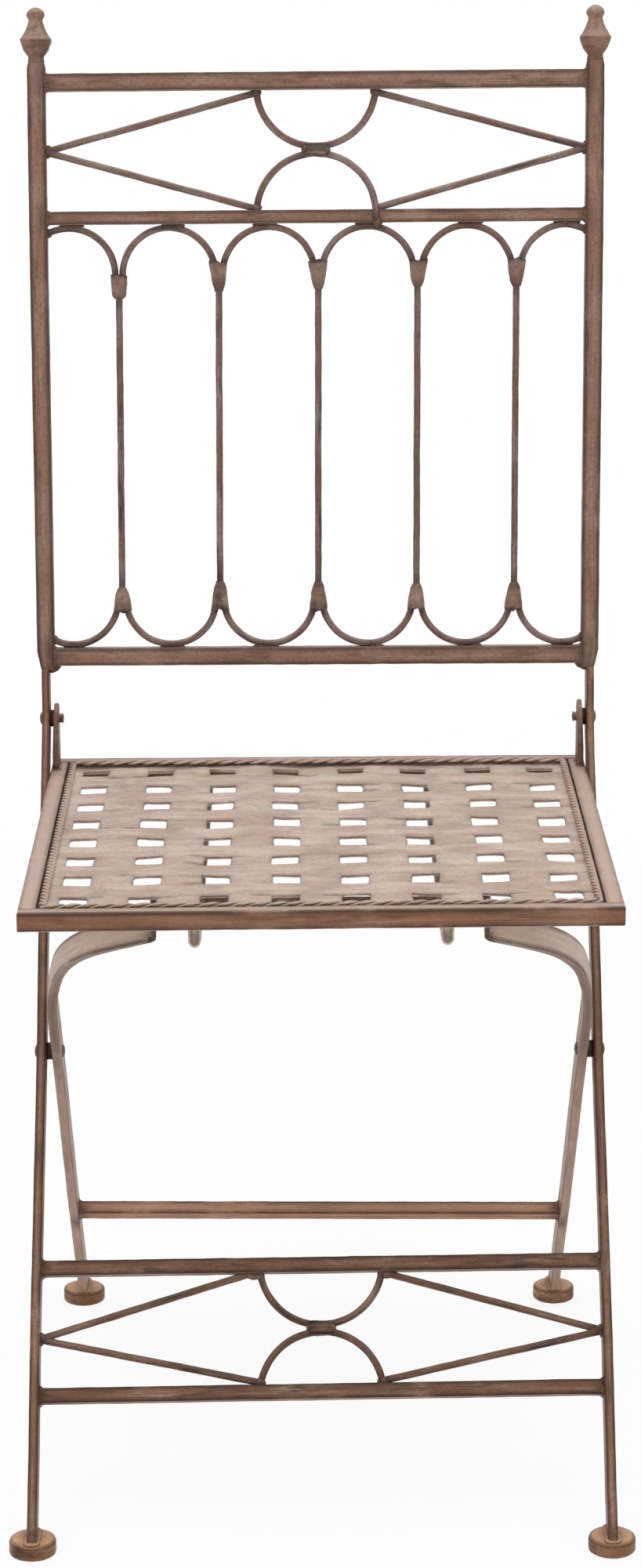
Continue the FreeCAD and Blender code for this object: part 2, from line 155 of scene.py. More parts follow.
def shell(rings, along, around, edge, closed=False):
    # skin over rings of points (n, m, 3): quads between neighbouring rings and a fan on each open end
    n, m = rings.shape[:2]
    i, j = np.meshgrid(np.arange(n if closed else n - 1), np.arange(m), indexing="ij")
    iNext, jNext = (i + 1) % n, (j + 1) % m
    quads = np.stack([i * m + j, i * m + jNext, iNext * m + jNext, iNext * m + j], -1).reshape(-1, 4)
    u, v = np.asarray(along), np.asarray(around)
    quadUv = np.stack([np.stack([u[i + p], v[j + q]], -1) for p, q in ((0, 0), (0, 1), (1, 1), (1, 0))], 2)
    edge = np.broadcast_to(edge, (n, m)).ravel()
    made = skin(rings.reshape(-1, 3), quads, quadUv.reshape(-1, 4, 2), edge)
    if closed:
        return made
    j, jNext = np.arange(m), (np.arange(m) + 1) % m
    start, end = n * m, (n - 1) * m          # the first fan's middle, and where the last ring begins
    first = np.stack([np.full(m, start), jNext, j], -1)
    last = np.stack([np.full(m, start + 1), end + j, end + jNext], -1)
    firstUv = np.stack([np.full((m, 3), u[0]), np.stack([v[j], v[j + 1], v[j]], -1)], -1)
    lastUv = np.stack([np.full((m, 3), u[n - 1]), np.stack([v[j], v[j], v[j + 1]], -1)], -1)
    made["verts"] = np.concatenate([made["verts"], rings[[0, -1]].mean(1)])
    made["edge"] = np.r_[made["edge"], 0.0, 0.0]
    made["tris"], made["triUv"] = np.concatenate([first, last]), np.concatenate([firstUv, lastUv])
    return made


def sweep(path, normal, section, seed=0, step=4.0, endRound=0.7, wander=0.1, hammer=0.05, grow=None,
          closed=False):
    # a section carried along a path: point = path + a N + b (T x N), where N is the normal squared to the
    # path's direction T; rings draw in by a quarter circle at each open end, and noise moves and dents them
    path = np.asarray(path, float)
    if closed:
        path = np.concatenate([path, path[:1]])
    span = lengths(path)
    length = span[-1]
    count = max(int(length / step), 2)
    if closed:
        s = np.linspace(0, length, count, endpoint=False)
        drawIn, fade, along = np.zeros(count), np.ones(count), np.r_[s, length]
        centre = pointsAt(s, span, path)
        tangent = np.roll(centre, -1, axis=0) - np.roll(centre, 1, axis=0)
    else:
        turn = np.linspace(0, math.pi / 2, 4)
        lip, inset = endRound * (1 - np.cos(turn)), endRound * (1 - np.sin(turn))
        s = np.r_[lip, np.linspace(endRound, length - endRound, count + 1)[1:-1], length - lip[::-1]]
        drawIn = np.r_[inset, np.zeros(count - 1), inset[::-1]]
        fade, along = between(np.minimum(s, length - s), 0, 12.0), s
        centre = pointsAt(s, span, path)
        tangent = pointsAt(s, span, np.gradient(path, span, axis=0))
    tangent = unit(tangent)
    across = np.broadcast_to(np.asarray(normal, float), centre.shape)
    across = unit(across - (across * tangent).sum(1)[:, None] * tangent)
    beside = np.cross(tangent, across)
    around = np.broadcast_to(section["around"][:-1], (len(s), len(section["points"])))
    dent = hammer * dents(np.broadcast_to(s[:, None], around.shape), around, seed)
    dent = 1 + dent / section["half"].max()
    a, b = (section["points"][:, k] * (1 - drawIn / section["half"][k])[:, None] * dent for k in (0, 1))
    if grow is not None:
        scaleA, scaleB, shiftA, shiftB = (np.broadcast_to(x, s.shape)[:, None] for x in grow(s, length))
        a, b = a * scaleA + shiftA, b * scaleB + shiftB
    a = a + (wander * fade * forged(s, seed + 1))[:, None]
    b = b + (wander * fade * forged(s, seed + 2))[:, None]
    rings = centre[:, None] + a[..., None] * across[:, None] + b[..., None] * beside[:, None]
    return shell(rings, along, section["around"], section["edge"], closed)


def turned(profile, origin, axis, side, seed=0, count=24, rough=0.0, shape=None, flat=1.0, lift=None):
    # a profile of (distance along the axis, radius) turned about the axis: point = origin + d axis +
    # r shape(angle) (cos S + flat sin (axis x S)), with the radius made uneven by dents
    d, r = np.asarray(profile, float).T
    axis, side = np.asarray(axis, float), np.asarray(side, float)
    angle = np.arange(count) * 2 * math.pi / count
    radius = r[:, None] * (np.ones((len(d), count)) if shape is None else shape(angle, d))
    wave = np.broadcast_to(angle, radius.shape) * max(r.max(), 1)
    radius = radius + rough * dents(np.broadcast_to(d[:, None], radius.shape), wave, seed, size=7.0)
    radius = np.maximum(radius, 0.02)
    rise = d[:, None] + (np.zeros(radius.shape) if lift is None else lift(angle, d))
    rings = origin + rise[..., None] * axis + (radius * np.cos(angle))[..., None] * side
    rings = rings + (radius * np.sin(angle) * flat)[..., None] * np.cross(axis, side)
    along = np.r_[0, np.cumsum(np.hypot(np.diff(d), np.diff(r)))]
    around = np.arange(count + 1) * 2 * math.pi / count * r.max()
    made = shell(rings, along, around, np.zeros(count))
    made["quadUv"], made["triUv"] = (made[k][..., ::-1] * [1.5, 0.15] for k in ("quadUv", "triUv"))
    return made


def fillet(half, size=2.6, reach=3.6):
    # both ends of a bar swell as a weld fillet does: size (1 - s / reach) squared
    def spread(s, length):
        scale = 1 + size / half * between(np.minimum(s, length - s), reach, 0) ** 2
        return scale, scale, 0.0, 0.0
    return spread


def bentPath(points, radii, step=1.5):
    # straight runs joined by arcs that touch both: at each corner, centre + radius (cos, sin) in its plane
    points = np.asarray(points, float)
    made = [points[:1]]
    for k, radius in enumerate(radii):
        before, corner, after = points[k:k + 3]
        ahead, onward = unit(corner - before), unit(after - corner)
        turn = math.acos(np.clip(ahead @ onward, -1, 1))
        enter = corner - ahead * radius * math.tan(turn / 2)
        side = unit(onward - (onward @ ahead) * ahead)
        angle = np.linspace(0, turn, max(int(radius * turn / step), 6))[:, None]
        made.append(enter + radius * np.sin(angle) * ahead + radius * (1 - np.cos(angle)) * side)
    corners = np.concatenate([*made, points[-1:]])
    span = lengths(corners)
    return pointsAt(np.unique(np.r_[span, np.arange(0, span[-1], step)]), span, corners)


def line(start, end, step=1.5):
    start, end = np.asarray(start, float), np.asarray(end, float)
    count = max(int(np.linalg.norm(end - start) / step), 3)
    return start + np.linspace(0, 1, count)[:, None] * (end - start)


# Materials

def wire(tree, kind, feeds, **settings):
    # one node with its settings, its inputs linked or set
    node = tree.nodes.new(kind)
    for key, value in settings.items():
        setattr(node, key, value)
    for key, value in feeds.items():
        if isinstance(value, bpy.types.NodeSocket):
            tree.links.new(value, node.inputs[key])
        else:
            node.inputs[key].default_value = value
    return node


def calc(tree, kind, a, b=0.0, c=0.0, clamp=False):
    return wire(tree, "ShaderNodeMath", {0: a, 1: b, 2: c}, operation=kind, use_clamp=clamp).outputs[0]


def ramp(tree, value, low, high):
    feeds = {"Value": value, "From Min": low, "From Max": high}
    return wire(tree, "ShaderNodeMapRange", feeds, interpolation_type="SMOOTHSTEP").outputs[0]


def noise(tree, vector, scale, detail, rough, stretch=None):
    if stretch:
        vector = wire(tree, "ShaderNodeMapping", {"Vector": vector, "Scale": stretch}).outputs[0]
    feeds = {"Vector": vector, "Scale": scale, "Detail": detail, "Roughness": rough}
    return wire(tree, "ShaderNodeTexNoise", feeds).outputs[0]


def srgb(r, g, b):                           # a colour as read from a screen, made linear
    c = np.array([r, g, b]) / 255
    c = np.where(c <= 0.04045, c / 12.92, ((c + 0.055) / 1.055) ** 2.4)
    return (*c.tolist(), 1.0)


patinaColours = {"Paint": (128, 108, 98), "Rust": (126, 92, 72), "Dark": (62, 44, 36),
                 "Pale": (176, 156, 144)}
patinaValues = {"Streaks": 0.9, "Smudge": 0.8, "Edge": 0.75, "Dust": 0.5, "Weld": 0.8, "Wear": 0.7,
                "Low": 0.0, "Lip": 0.5, "Grain": 0.3, "Under": 0.0}
patinaNoise = {"streak": (1.0, 5.0, 0.65, (14.0, 300.0, 1.0)), "brush": (1.0, 3.0, 0.6, (36.0, 1500.0, 1.0)),
               "smudge": (1.0, 4.0, 0.6, (22.0, 120.0, 1.0)), "blotch": (30.0, 5.0, 0.6),
               "speck": (460.0, 3.0, 0.6)}             # scale, detail, roughness and stretch
patinaRamps = {"rusted": (0.4, 0.58), "low": (0.4, 0.33), "wearAndShade": (0.56, 0.36), "brushed": (0.42, 0.66),
               "shade": (0.5, 0.3), "grain": (0.56, 0.34), "dustAndSheen": (0.35, 0.95), "under": (-0.2, -0.7),
               "aboveFloor": (0.26, 0.3), "rim": (0.2, 0.5), "dirt": (0.2, 0.6)}


def buildPatina():
    # brushed-on antique finish: rust streaks along the bar over grey paint, dark at edges and welds,
    # pale where rubbing lightens it, and where dust and a painted sheen lighten faces that look up;
    # faces that look down take painted shade, and their edges a painted reflection of the floor
    tree = bpy.data.node_groups.new("patina", "ShaderNodeTree")
    socket = tree.interface.new_socket
    for name, value in patinaColours.items():
        socket(name, in_out="INPUT", socket_type="NodeSocketColor").default_value = srgb(*value)
    for name, value in patinaValues.items():
        socket(name, in_out="INPUT", socket_type="NodeSocketFloat").default_value = value
    for name, kind in (("Color", "Color"), ("Roughness", "Float"), ("Height", "Float")):
        socket(name, in_out="OUTPUT", socket_type="NodeSocket" + kind)
    given = tree.nodes.new("NodeGroupInput").outputs
    place = tree.nodes.new("ShaderNodeTexCoord").outputs

    def times(*factors, clamp=False):
        made = factors[0]
        for factor in factors[1:]:
            made = calc(tree, "MULTIPLY", made, factor, clamp=clamp)
        return made

    def add(a, size, b):                     # a times size, plus b
        return calc(tree, "MULTIPLY_ADD", a, size, b)

    def step(value, key):
        return ramp(tree, value, *patinaRamps[key])
    uv = wire(tree, "ShaderNodeUVMap", {}, uv_map="barUv").outputs[0]
    edge, joint = (wire(tree, "ShaderNodeAttribute", {}, attribute_name=name).outputs["Fac"]
                   for name in ("edgeMask", "jointMask"))
    streak, brush, smudge = (noise(tree, uv, *patinaNoise[key]) for key in ("streak", "brush", "smudge"))
    blotch, speck = (noise(tree, place["Object"], *patinaNoise[key]) for key in ("blotch", "speck"))
    high, up = (wire(tree, "ShaderNodeSeparateXYZ", {0: place[key]}).outputs[2]
                for key in ("Object", "Normal"))
    stroke = calc(tree, "SUBTRACT", brush, 0.5)
    body = add(stroke, 0.25, add(streak, 0.6, times(blotch, 0.4)))
    under = step(up, "under")
    rusted = times(step(body, "rusted"), given["Streaks"], clamp=True)
    rusted = calc(tree, "MAXIMUM", rusted, times(step(high, "low"), given["Low"]))
    wearAndShade = times(step(body, "wearAndShade"), given["Wear"], step(brush, "brushed"))
    shade = times(step(add(stroke, 0.5, smudge), "shade"), given["Smudge"])
    grain = times(step(speck, "grain"), given["Grain"])
    # dust and a painted sheen: faces that look up turn Pale
    dustAndSheen = times(times(step(up, "dustAndSheen"), given["Dust"]), add(streak, 0.7, 0.62), clamp=True)
    # painted shade: faces that look down, higher than about 0.28 m, turn Dark
    below = times(under, step(high, "aboveFloor"), given["Under"])
    # painted reflection of the floor: edges of faces that look down turn Pale
    lip = times(edge, given["Lip"], under)
    rim = times(edge, given["Edge"], step(blotch, "rim"), calc(tree, "SUBTRACT", 1.0, under))
    dirt = times(joint, given["Weld"], step(speck, "dirt"))
    dark = calc(tree, "MAXIMUM", rim, dirt, clamp=True)
    colour = given["Paint"]
    for share, key in ((rusted, "Rust"), (wearAndShade, "Pale"), (shade, "Dark"), (grain, "Dark"), (dustAndSheen, "Pale"),
                       (below, "Dark"), (lip, "Pale"), (dark, "Dark")):
        feeds = {0: share, 6: colour, 7: given[key]}
        colour = wire(tree, "ShaderNodeMix", feeds, data_type="RGBA").outputs[2]
    rough = add(blotch, 0.2, add(dark, 0.12, 0.36))
    height = add(speck, 0.45, add(brush, 0.35, blotch))
    wire(tree, "NodeGroupOutput", {"Color": colour, "Roughness": rough, "Height": height})
    return tree


patina = buildPatina()


def clearTree(owner):                        # the empty node tree of a material or a world
    owner.use_nodes = True
    owner.node_tree.nodes.clear()
    return owner.node_tree


def finish(name, bump=0.35, distance=0.00035, specular=0.22, **given):
    # a painted-metal material: the patina group feeds colour, roughness and bump
    material = bpy.data.materials.new(name)
    tree = clearTree(material)
    look = wire(tree, "ShaderNodeGroup", {}, node_tree=patina)
    for key, value in given.items():
        look.inputs[key].default_value = srgb(*value) if key in patinaColours else value
    feeds = {"Height": look.outputs["Height"], "Strength": bump, "Distance": distance}
    normal = wire(tree, "ShaderNodeBump", feeds).outputs[0]
    feeds = {"Base Color": look.outputs["Color"], "Roughness": look.outputs["Roughness"], "Normal": normal,
             "Specular IOR Level": specular}
    shader = wire(tree, "ShaderNodeBsdfPrincipled", feeds)
    wire(tree, "ShaderNodeOutputMaterial", {"Surface": shader.outputs[0]})
    return material


finishes = {
    "bar": finish("antiqueBar", Paint=(138, 109, 95), Rust=(128, 91, 72), Dark=(56, 39, 31), Streaks=0.75,
                  Wear=0.3, Smudge=0.55),
    "thin": finish("antiqueThin", Paint=(118, 98, 92), Rust=(106, 78, 67), Dark=(44, 33, 29)),
    "collar": finish("antiqueCollar", Paint=(150, 124, 110), Rust=(128, 95, 80), Dark=(46, 34, 29),
                     Edge=0.95),
    "leg": finish("antiqueLeg", Paint=(132, 97, 73), Rust=(124, 80, 53), Dark=(46, 30, 21),
                  Pale=(178, 150, 130), Dust=0.55, Streaks=0.75, Smudge=0.6),
    "stretcher": finish("antiqueStretcher", Paint=(116, 80, 58), Rust=(106, 66, 41), Dark=(36, 23, 16),
                        Pale=(168, 148, 132), Dust=0.35, Smudge=0.9),
    # a paler copy of the stretcher paint: painted light for the bright fill under the seat
    "rearBar": finish("litAntiqueRear", Paint=(166, 122, 93), Rust=(154, 104, 74), Dark=(64, 42, 30),
                      Pale=(200, 170, 146), Smudge=0.6),
    "panel": finish("antiquePanel", Paint=(108, 80, 63), Rust=(98, 67, 48), Dark=(34, 23, 17),
                    Pale=(160, 140, 126), Edge=0.95, Dust=0.2),
    "rail": finish("antiqueRail", Paint=(130, 92, 71), Rust=(120, 80, 57), Dark=(48, 32, 24),
                   Pale=(202, 178, 163), Dust=0.58, Wear=0.2, Smudge=0.5, Grain=0.15, Weld=0.25, Edge=0.8),
    "sideRail": finish("antiqueSideRail", Paint=(130, 96, 77), Rust=(120, 84, 63), Dark=(52, 36, 28),
                       Pale=(200, 176, 161), Dust=0.75, Wear=0.2, Smudge=0.6, Grain=0.15, Weld=0.25,
                       Edge=0.4),
    # the arms' pale paint is painted light and reflection under the seat; Low turns the lower leg back to
    # rust colour, and Weld darkens the welds and the bent tip, there partly as painted shade
    "arm": finish("paleSheenLeg", bump=0.2, Paint=(208, 187, 174), Rust=(150, 115, 92), Dark=(70, 51, 40),
                  Pale=(214, 196, 182), Streaks=0.3, Smudge=0.3, Low=0.9, Weld=1.6, Lip=0.1, Grain=0.12,
                  Under=0.64),
    "foot": finish("footDisc", Paint=(138, 102, 77), Rust=(120, 80, 54), Dark=(50, 34, 24),
                   Pale=(218, 170, 134), Dust=0.68, Streaks=0.7, Wear=0.9),
    # the sheet's paint is paler than the bars', partly a painted sheen
    "sheet": finish("paleSheenSheet", specular=0.5, Paint=(192, 169, 154), Rust=(152, 118, 98), Dark=(40, 28, 22),
                    Pale=(214, 196, 182), Streaks=0.85, Dust=0.25, Wear=0.3, Smudge=0.4),
    "rope": finish("ropeIron", Paint=(196, 172, 156), Rust=(174, 142, 122), Dark=(48, 33, 27), Dust=0.5,
                   Edge=1.0, Smudge=0.4, Grain=0.15),
    # the guide lugs' pale paint is a painted reflection of the white surroundings
    "lug": finish("paleSheenLug", Paint=(206, 192, 178), Rust=(184, 162, 146), Dark=(92, 78, 68),
                  Pale=(220, 208, 196), Smudge=0.3, Lip=0.1, Under=0.4),
    "weld": finish("weldBead", bump=0.6, Paint=(112, 86, 72), Rust=(112, 76, 57), Dust=0.25, Weld=0.4),
    "rod": finish("darkRod", Paint=(108, 88, 78), Rust=(100, 73, 58), Dust=0.3),
    # the spacers' near-black paint is painted shade, deep between the bars
    "spacer": finish("darkSpacer", Paint=(58, 43, 36), Rust=(52, 37, 29), Dark=(30, 21, 17),
                     Pale=(88, 70, 60), Dust=0.2),
}
print("materials made:", len(finishes))


# Making a piece

lookPieces = []                              # (object, vertices in millimetres)
weldSpots = []                               # points where dirt and weld colour gather, and where painted shade falls at the arm tips
beads = {"back_frame": [], "rear_legs": [], "seat": []}
seatLow, seatHigh = boxOf("seatRailFront")[0], boxOf("seatRailRear")[1]
skewLook = {"seatTilt": 0.0045, "seatTwist": -0.0000095, "seatPitch": 0.004, "waist": 0.0075,
            "waistFrom": (100, 300), "waistTo": (500, 880), "backDrop": 0.6, "backTilt": 0.0015,
            "backTwist": 0.0042, "backFrom": (490, 520), "arcadeLow": (0.4, 0.008),
            "arcadeHigh": (1.3, 0.002), "arcadeFrom": (534, 818), "arcadeBand": (505, 822), "arcadeHalf": 184}


def handmade(verts, body):
    # small skews of a chair made by hand, as shifts that change slowly over its height
    look = skewLook
    x, y, z = verts.T
    if body == "seat":                       # the seat sits a little lower on the left, and at the front
        z = z + x * (look["seatTilt"] + look["seatTwist"] * y) + look["seatPitch"] * (y - seatLow[1])
        return np.column_stack([x, y, z])
    low, high = between(z, *look["waistFrom"]), between(z, *look["waistTo"])
    x = x * (1 - look["waist"] * smooth(low) * (1 - smooth(high)))
    if body == "back_frame":                 # rods and arches stand aside, and the back drops to the left
        share = between(z, *look["arcadeFrom"])
        (low0, low1), (high0, high1) = look["arcadeLow"], look["arcadeHigh"]
        aside = (low0 + low1 * x) * (1 - share) + (high0 + high1 * x) * share
        inBand = (z > look["arcadeBand"][0]) & (z < look["arcadeBand"][1])
        x = x + aside * (1 - between(np.abs(x), 0, look["arcadeHalf"]) ** 4) * inBand
        lean = x * (look["backTilt"] + look["backTwist"] * high) - look["backDrop"]
        z = z + between(z, *look["backFrom"]) * lean
    return np.column_stack([x, y, z])


def addObject(name, data):
    made = bpy.data.objects.new(name, data)
    bpy.context.scene.collection.objects.link(made)
    return made


def addPiece(name, shells, look, body="back_frame", solid=True):
    # joins shells into one mesh with a UV map of lengths along and around, offset for each shell
    offset = np.cumsum([0] + [len(s["verts"]) for s in shells])
    slide = np.random.default_rng(len(lookPieces)).uniform(0, 9, (len(shells), 2))
    verts = handmade(np.concatenate([s["verts"] for s in shells]), body)
    quads, tris = (np.concatenate([s[key] + k for s, k in zip(shells, offset)]) for key in ("quads", "tris"))
    uvs = [s[key] * mm + k for key in ("quadUv", "triUv") for s, k in zip(shells, slide)]
    mesh = bpy.data.meshes.new(name)
    mesh.vertices.add(len(verts))
    mesh.vertices.foreach_set("co", (verts * mm).ravel())
    mesh.loops.add(quads.size + tris.size)
    mesh.loops.foreach_set("vertex_index", np.r_[quads.ravel(), tris.ravel()])
    starts = np.r_[np.arange(len(quads)) * 4, quads.size + np.arange(len(tris)) * 3]
    mesh.polygons.add(len(starts))
    mesh.polygons.foreach_set("loop_start", starts)
    mesh.update(calc_edges=True)
    mesh.polygons.foreach_set("use_smooth", np.ones(len(starts), bool))
    mesh.uv_layers.new(name="barUv").data.foreach_set("uv", np.concatenate([uv.ravel() for uv in uvs]))
    edge = np.concatenate([s["edge"] for s in shells])
    mesh.attributes.new("edgeMask", "FLOAT", "POINT").data.foreach_set("value", edge)
    mesh.materials.append(finishes[look])
    piece = addObject(name, mesh)
    nodes = [nodeName(name)] if solid else []
    if nodes:
        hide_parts(*nodes)
    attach(piece, body)
    lookPieces.append((piece, verts))
    return piece


weldLook = {"corner": 0.45, "waves": 3, "swell": 0.35, "uneven": 0.25, "step": 1.2, "rough": 0.12,
            "sink": 0.2}


def weldRing(centre, aDir, bDir, halfA, halfB, size, seed, body="back_frame"):
    # a lumpy bead round a joint: a closed round section carried along a rounded rectangle
    outline = barSection(2 * halfA, 2 * halfB, weldLook["corner"] * min(halfA, halfB), flats=3)["points"]
    path = centre + outline[:, :1] * aDir + outline[:, 1:] * bDir

    def lumps(s, length):
        wave = np.sin(s / length * 2 * math.pi * weldLook["waves"] + seed)
        big = 1 + weldLook["swell"] * wave + weldLook["uneven"] * forged(s, seed, 9.0)
        return big, big, 0.0, 0.0
    weldSpots.extend(path[::4])
    beads[body].append(sweep(path, np.cross(aDir, bDir), roundSection(2 * size, 8), seed, weldLook["step"],
                             wander=0.25, hammer=0.1, grow=lumps, closed=True))


def weldBlob(centre, axis, side, long, thick, seed):
    # a lump of weld on the back frame: a stretched ball with an uneven skin
    angle = np.linspace(0.05, math.pi - 0.05, 10)
    profile = np.stack([-long / 2 * np.cos(angle), thick / 2 * np.sin(angle)], -1)
    beads["back_frame"].append(turned(profile, centre, axis, side, seed, 12, rough=weldLook["rough"] * thick))
    weldSpots.append(centre)


# Back frame: posts, finials and rails

backLean = 6.5
backPlane = leanedPlane(hinge, backLean)
backPlace, backUp, backOut = backPlane
legX = middleOf("backPostRight")[0]
postLook = {"side": 12.0, "foot": 34.5, "top": 442.5, "bevel": 12.5, "bevelIn": 2.9, "corner": 1.3,
            "headIn": 0.13, "headRun": 4.0, "weld": (10.0, 4.6), "weldSlope": (0.52, 0.85),
            "lift": {"Left": 1.4, "Right": 0.0}}
railLook = {"side": 12.0, "panelSide": 9.0, "lowUnder": 37.5, "panelUnder": 336.0, "topUnder": 424.5,
            "corner": 1.2, "weld": 0.9, "swell": 1.6, "swellRun": 2.6, "sink": 0.5}
postInner = legX - postLook["side"] / 2


def addPosts():
    look = postLook
    section = barSection(look["side"], look["side"], look["corner"])
    for side, hand in hands:
        def foot(s, length):                 # the outer face runs in towards the leg below
            cut = look["bevelIn"] * between(s, look["bevel"], 0)
            head = 1 - look["headIn"] * between(s - length, -look["headRun"], 0) ** 1.5
            return (1 - cut / look["side"]) * head, head, -side * cut / 2, 0.0
        top = look["top"] + look["lift"][hand]
        path = line(backPlace(side * legX, look["foot"]), backPlace(side * legX, top))
        addPiece("backPost" + hand, [sweep(path, xDir, section, 11 + side, step=3.0, grow=foot)], "bar")
        slope = look["weldSlope"][0] * backUp - look["weldSlope"][1] * side * xDir
        spot = backPlace(side * (postInner - weldLook["sink"]), look["foot"] + 1.0)
        weldBlob(spot, slope, backOut, *look["weld"], 17 + side)


finialLook = {"base": 11.0, "bulb": 20.5, "neck": 9.5, "cap": 12.2, "face": 0.62, "ballFrom": (26.0, 29.0)}


def addFinials():
    # half widths up the finial; its plan is a square with broad chamfers that turns round at the cap
    b, w, n, c = (finialLook[key] / 2 for key in ("base", "bulb", "neck", "cap"))
    profile = [(-0.4, b - 0.6), (0.4, b), (1.6, b - 0.3), (3.2, b - 0.5), (4.0, b - 0.3), (5.5, b + 0.9),
               (8.0, b + 2.6), (11.0, w - 1.1), (13.3, w - 0.25), (13.9, w - 0.35), (14.3, w - 0.05),
               (15.2, w), (15.8, w - 0.4), (18.0, w - 1.9), (21.0, w - 3.5), (24.0, n + 0.75),
               (26.6, n + 0.1), (28.2, n), (29.2, c - 0.9), (30.2, c - 0.15), (31.6, c), (33.0, c - 0.4),
               (34.4, c - 1.5), (35.5, c - 3.0), (36.2, c - 4.6)]

    def plan(angle, d):
        turn = np.abs((angle + math.pi / 4) % (math.pi / 2) - math.pi / 4)
        chamfer = (1 + finialLook["face"]) / math.sqrt(2) / np.cos(math.pi / 4 - turn)
        ball = between(d, *finialLook["ballFrom"])[:, None]
        return np.minimum(1 / np.cos(turn), chamfer) * (1 - ball) + ball
    for side, hand in hands:
        base = backPlace(side * legX, postLook["top"] + postLook["lift"][hand])
        made = turned(profile, base, backUp, xDir, 21 + side, 48, rough=0.07, shape=plan)
        addPiece("finial" + hand, [made], "bar")
        weldSpots.append(base)


def addRails():
    rails = (("topRail", "side", "topUnder"), ("panelRail", "panelSide", "panelUnder"),
             ("backBottomRail", "side", "lowUnder"))
    for k, (name, wideKey, underKey) in enumerate(rails):
        wide = railLook[wideKey]
        up = railLook[underKey] + wide / 2
        reach = postInner + railLook["sink"]
        section = barSection(wide, wide, railLook["corner"])
        swell = fillet(wide / 2, railLook["swell"], railLook["swellRun"])
        path = line(backPlace(-reach, up), backPlace(reach, up))
        addPiece(name, [sweep(path, backOut, section, 31 + 5 * k, step=1.0, grow=swell)], "bar")
        half = wide / 2 - weldLook["sink"]
        for side in (-1, 1):
            spot = backPlace(side * (postInner - weldLook["sink"]), up)
            weldRing(spot, backOut, backUp, half, half, railLook["weld"], 40 + 3 * k + side)


addPosts()
addFinials()
addRails()
print("posts, finials and rails made")


# Panels: bowl, arch, clip and diagonals between two rails

motifLook = {"bar": 4.6, "halfChord": 40.0, "reach": 38.0, "square": 3.0, "clipWide": 17.0, "clipTall": 10.0,
             "clipDeep": 7.0, "clipCorner": 1.6, "lapOut": 4.2, "lapFrom": (20, 40), "weldAside": 4.0,
             "endWeld": (7.0, 5.6), "crotchWeld": (5.2, 6.8), "sideWeld": (9.0, 4.6), "weldIn": 0.8,
             "sink": {"back": (-0.2, -1.2, -1.2), "front": (-1.2, 2.5, 0.4)}}


def addMotif(prefix, plane, low, high, sideX, drop, seed, skew, look, lap=0.0):
    # two circle arcs of equal radius, back to back and tied by a clip, with straight diagonals to both sides;
    # that radius is (half chord squared + sag squared) / (2 sag)
    place, upDir, outDir = plane
    middle, half = (low + high) / 2, (high - low) / 2
    radius = motifLook["bar"] / 2
    sag = half - radius
    ring = (motifLook["halfChord"] ** 2 + sag ** 2) / (2 * sag)
    section = roundSection(motifLook["bar"], 16, motifLook["square"])
    rise = math.asin(np.clip((sag - ring) / ring, -1, 1))

    def flat(x, up, out=0.0):                # the panel's plane, with the rails' own tilt
        return place(x, up + skew(x, up), out)
    for name, way in (("Bowl", 1), ("Arch", -1)):
        angle = np.linspace(-math.pi - rise - 0.03, rise + 0.03, 90)
        x, up, out = ring * np.cos(angle), middle + way * (radius + ring + ring * np.sin(angle)), 0.0
        if name == "Arch" and lap:           # the right end runs on down the face of the rail
            x, up = np.r_[x, np.full(12, x[-1])], np.r_[up, up[-1] - np.linspace(0.5, lap, 12)]
            out = -motifLook["lapOut"] * between(x, *motifLook["lapFrom"]) ** 2
        path = flat(x, up, out)
        made = sweep(path, outDir, section, seed + way, step=2.5, hammer=0.07, wander=0.15)
        addPiece(prefix + name, [made], look)
        aside = motifLook["weldAside"] if way > 0 and drop else 0.0
        long, thick = motifLook["endWeld"]
        for end in (path[2], path[-3]):
            spot = end + np.sign(end[0]) * aside * xDir
            weldBlob(spot, xDir, outDir, long + 1.6 * aside, thick, seed + way + int(end[0]))
    clip = barSection(motifLook["clipDeep"], motifLook["clipTall"], motifLook["clipCorner"], flats=3)
    halfClip = motifLook["clipWide"] / 2

    def waist(s, length):                    # lower in the middle than at the ends, as if hammered round
        t = np.abs(2 * s / length - 1)
        tall = 0.96 + 0.05 * t ** 2 + 0.04 * forged(s, seed + 3, 9.0)
        return 1 + 0.03 * forged(s, seed, 12.0), tall, 0.0, 0.0
    path = flat(np.linspace(-halfClip, halfClip, 14), np.full(14, middle))
    made = sweep(path, outDir, clip, seed + 7, step=1.0, hammer=0.22, endRound=2.4, grow=waist)
    addPiece(prefix + "Clip", [made], look)
    for way in (-1, 1):                      # weld fills the crotch where the bowl and the arch part
        spot = flat(way * (halfClip - 1.2), middle)
        weldBlob(spot, xDir, outDir, *motifLook["crotchWeld"], seed + 20 + way)
    meet, inward = middle - drop, motifLook["weldIn"]
    lowSink, *highSinks = motifLook["sink"]["front" if drop else "back"]
    for side, hand in hands:
        shells = []
        for level, end in ((low, low - lowSink), (high, high + highSinks[side > 0])):
            x = np.linspace(side * (sideX + inward), side * motifLook["reach"], 60)
            path = flat(x, np.linspace(meet, end, 60))
            shells.append(sweep(path, outDir, section, seed + 9 + side + int(level), step=3.0, hammer=0.06,
                                wander=0.15))
        addPiece(prefix + "Diagonals" + hand, shells, look)
        spot = flat(side * (sideX - inward), meet)
        weldBlob(spot, upDir, outDir, *motifLook["sideWeld"], seed + 15 + side)


def noSkew(x, up):
    return np.zeros(np.broadcast(x, up).shape)


panelLow = railLook["panelUnder"] + railLook["panelSide"]
addMotif("backPanel", backPlane, panelLow, railLook["topUnder"], postInner, 0.0, 60, noSkew, "thin", lap=9.0)
print("back panel made")


# Arcade: arches, rods and tulip collars

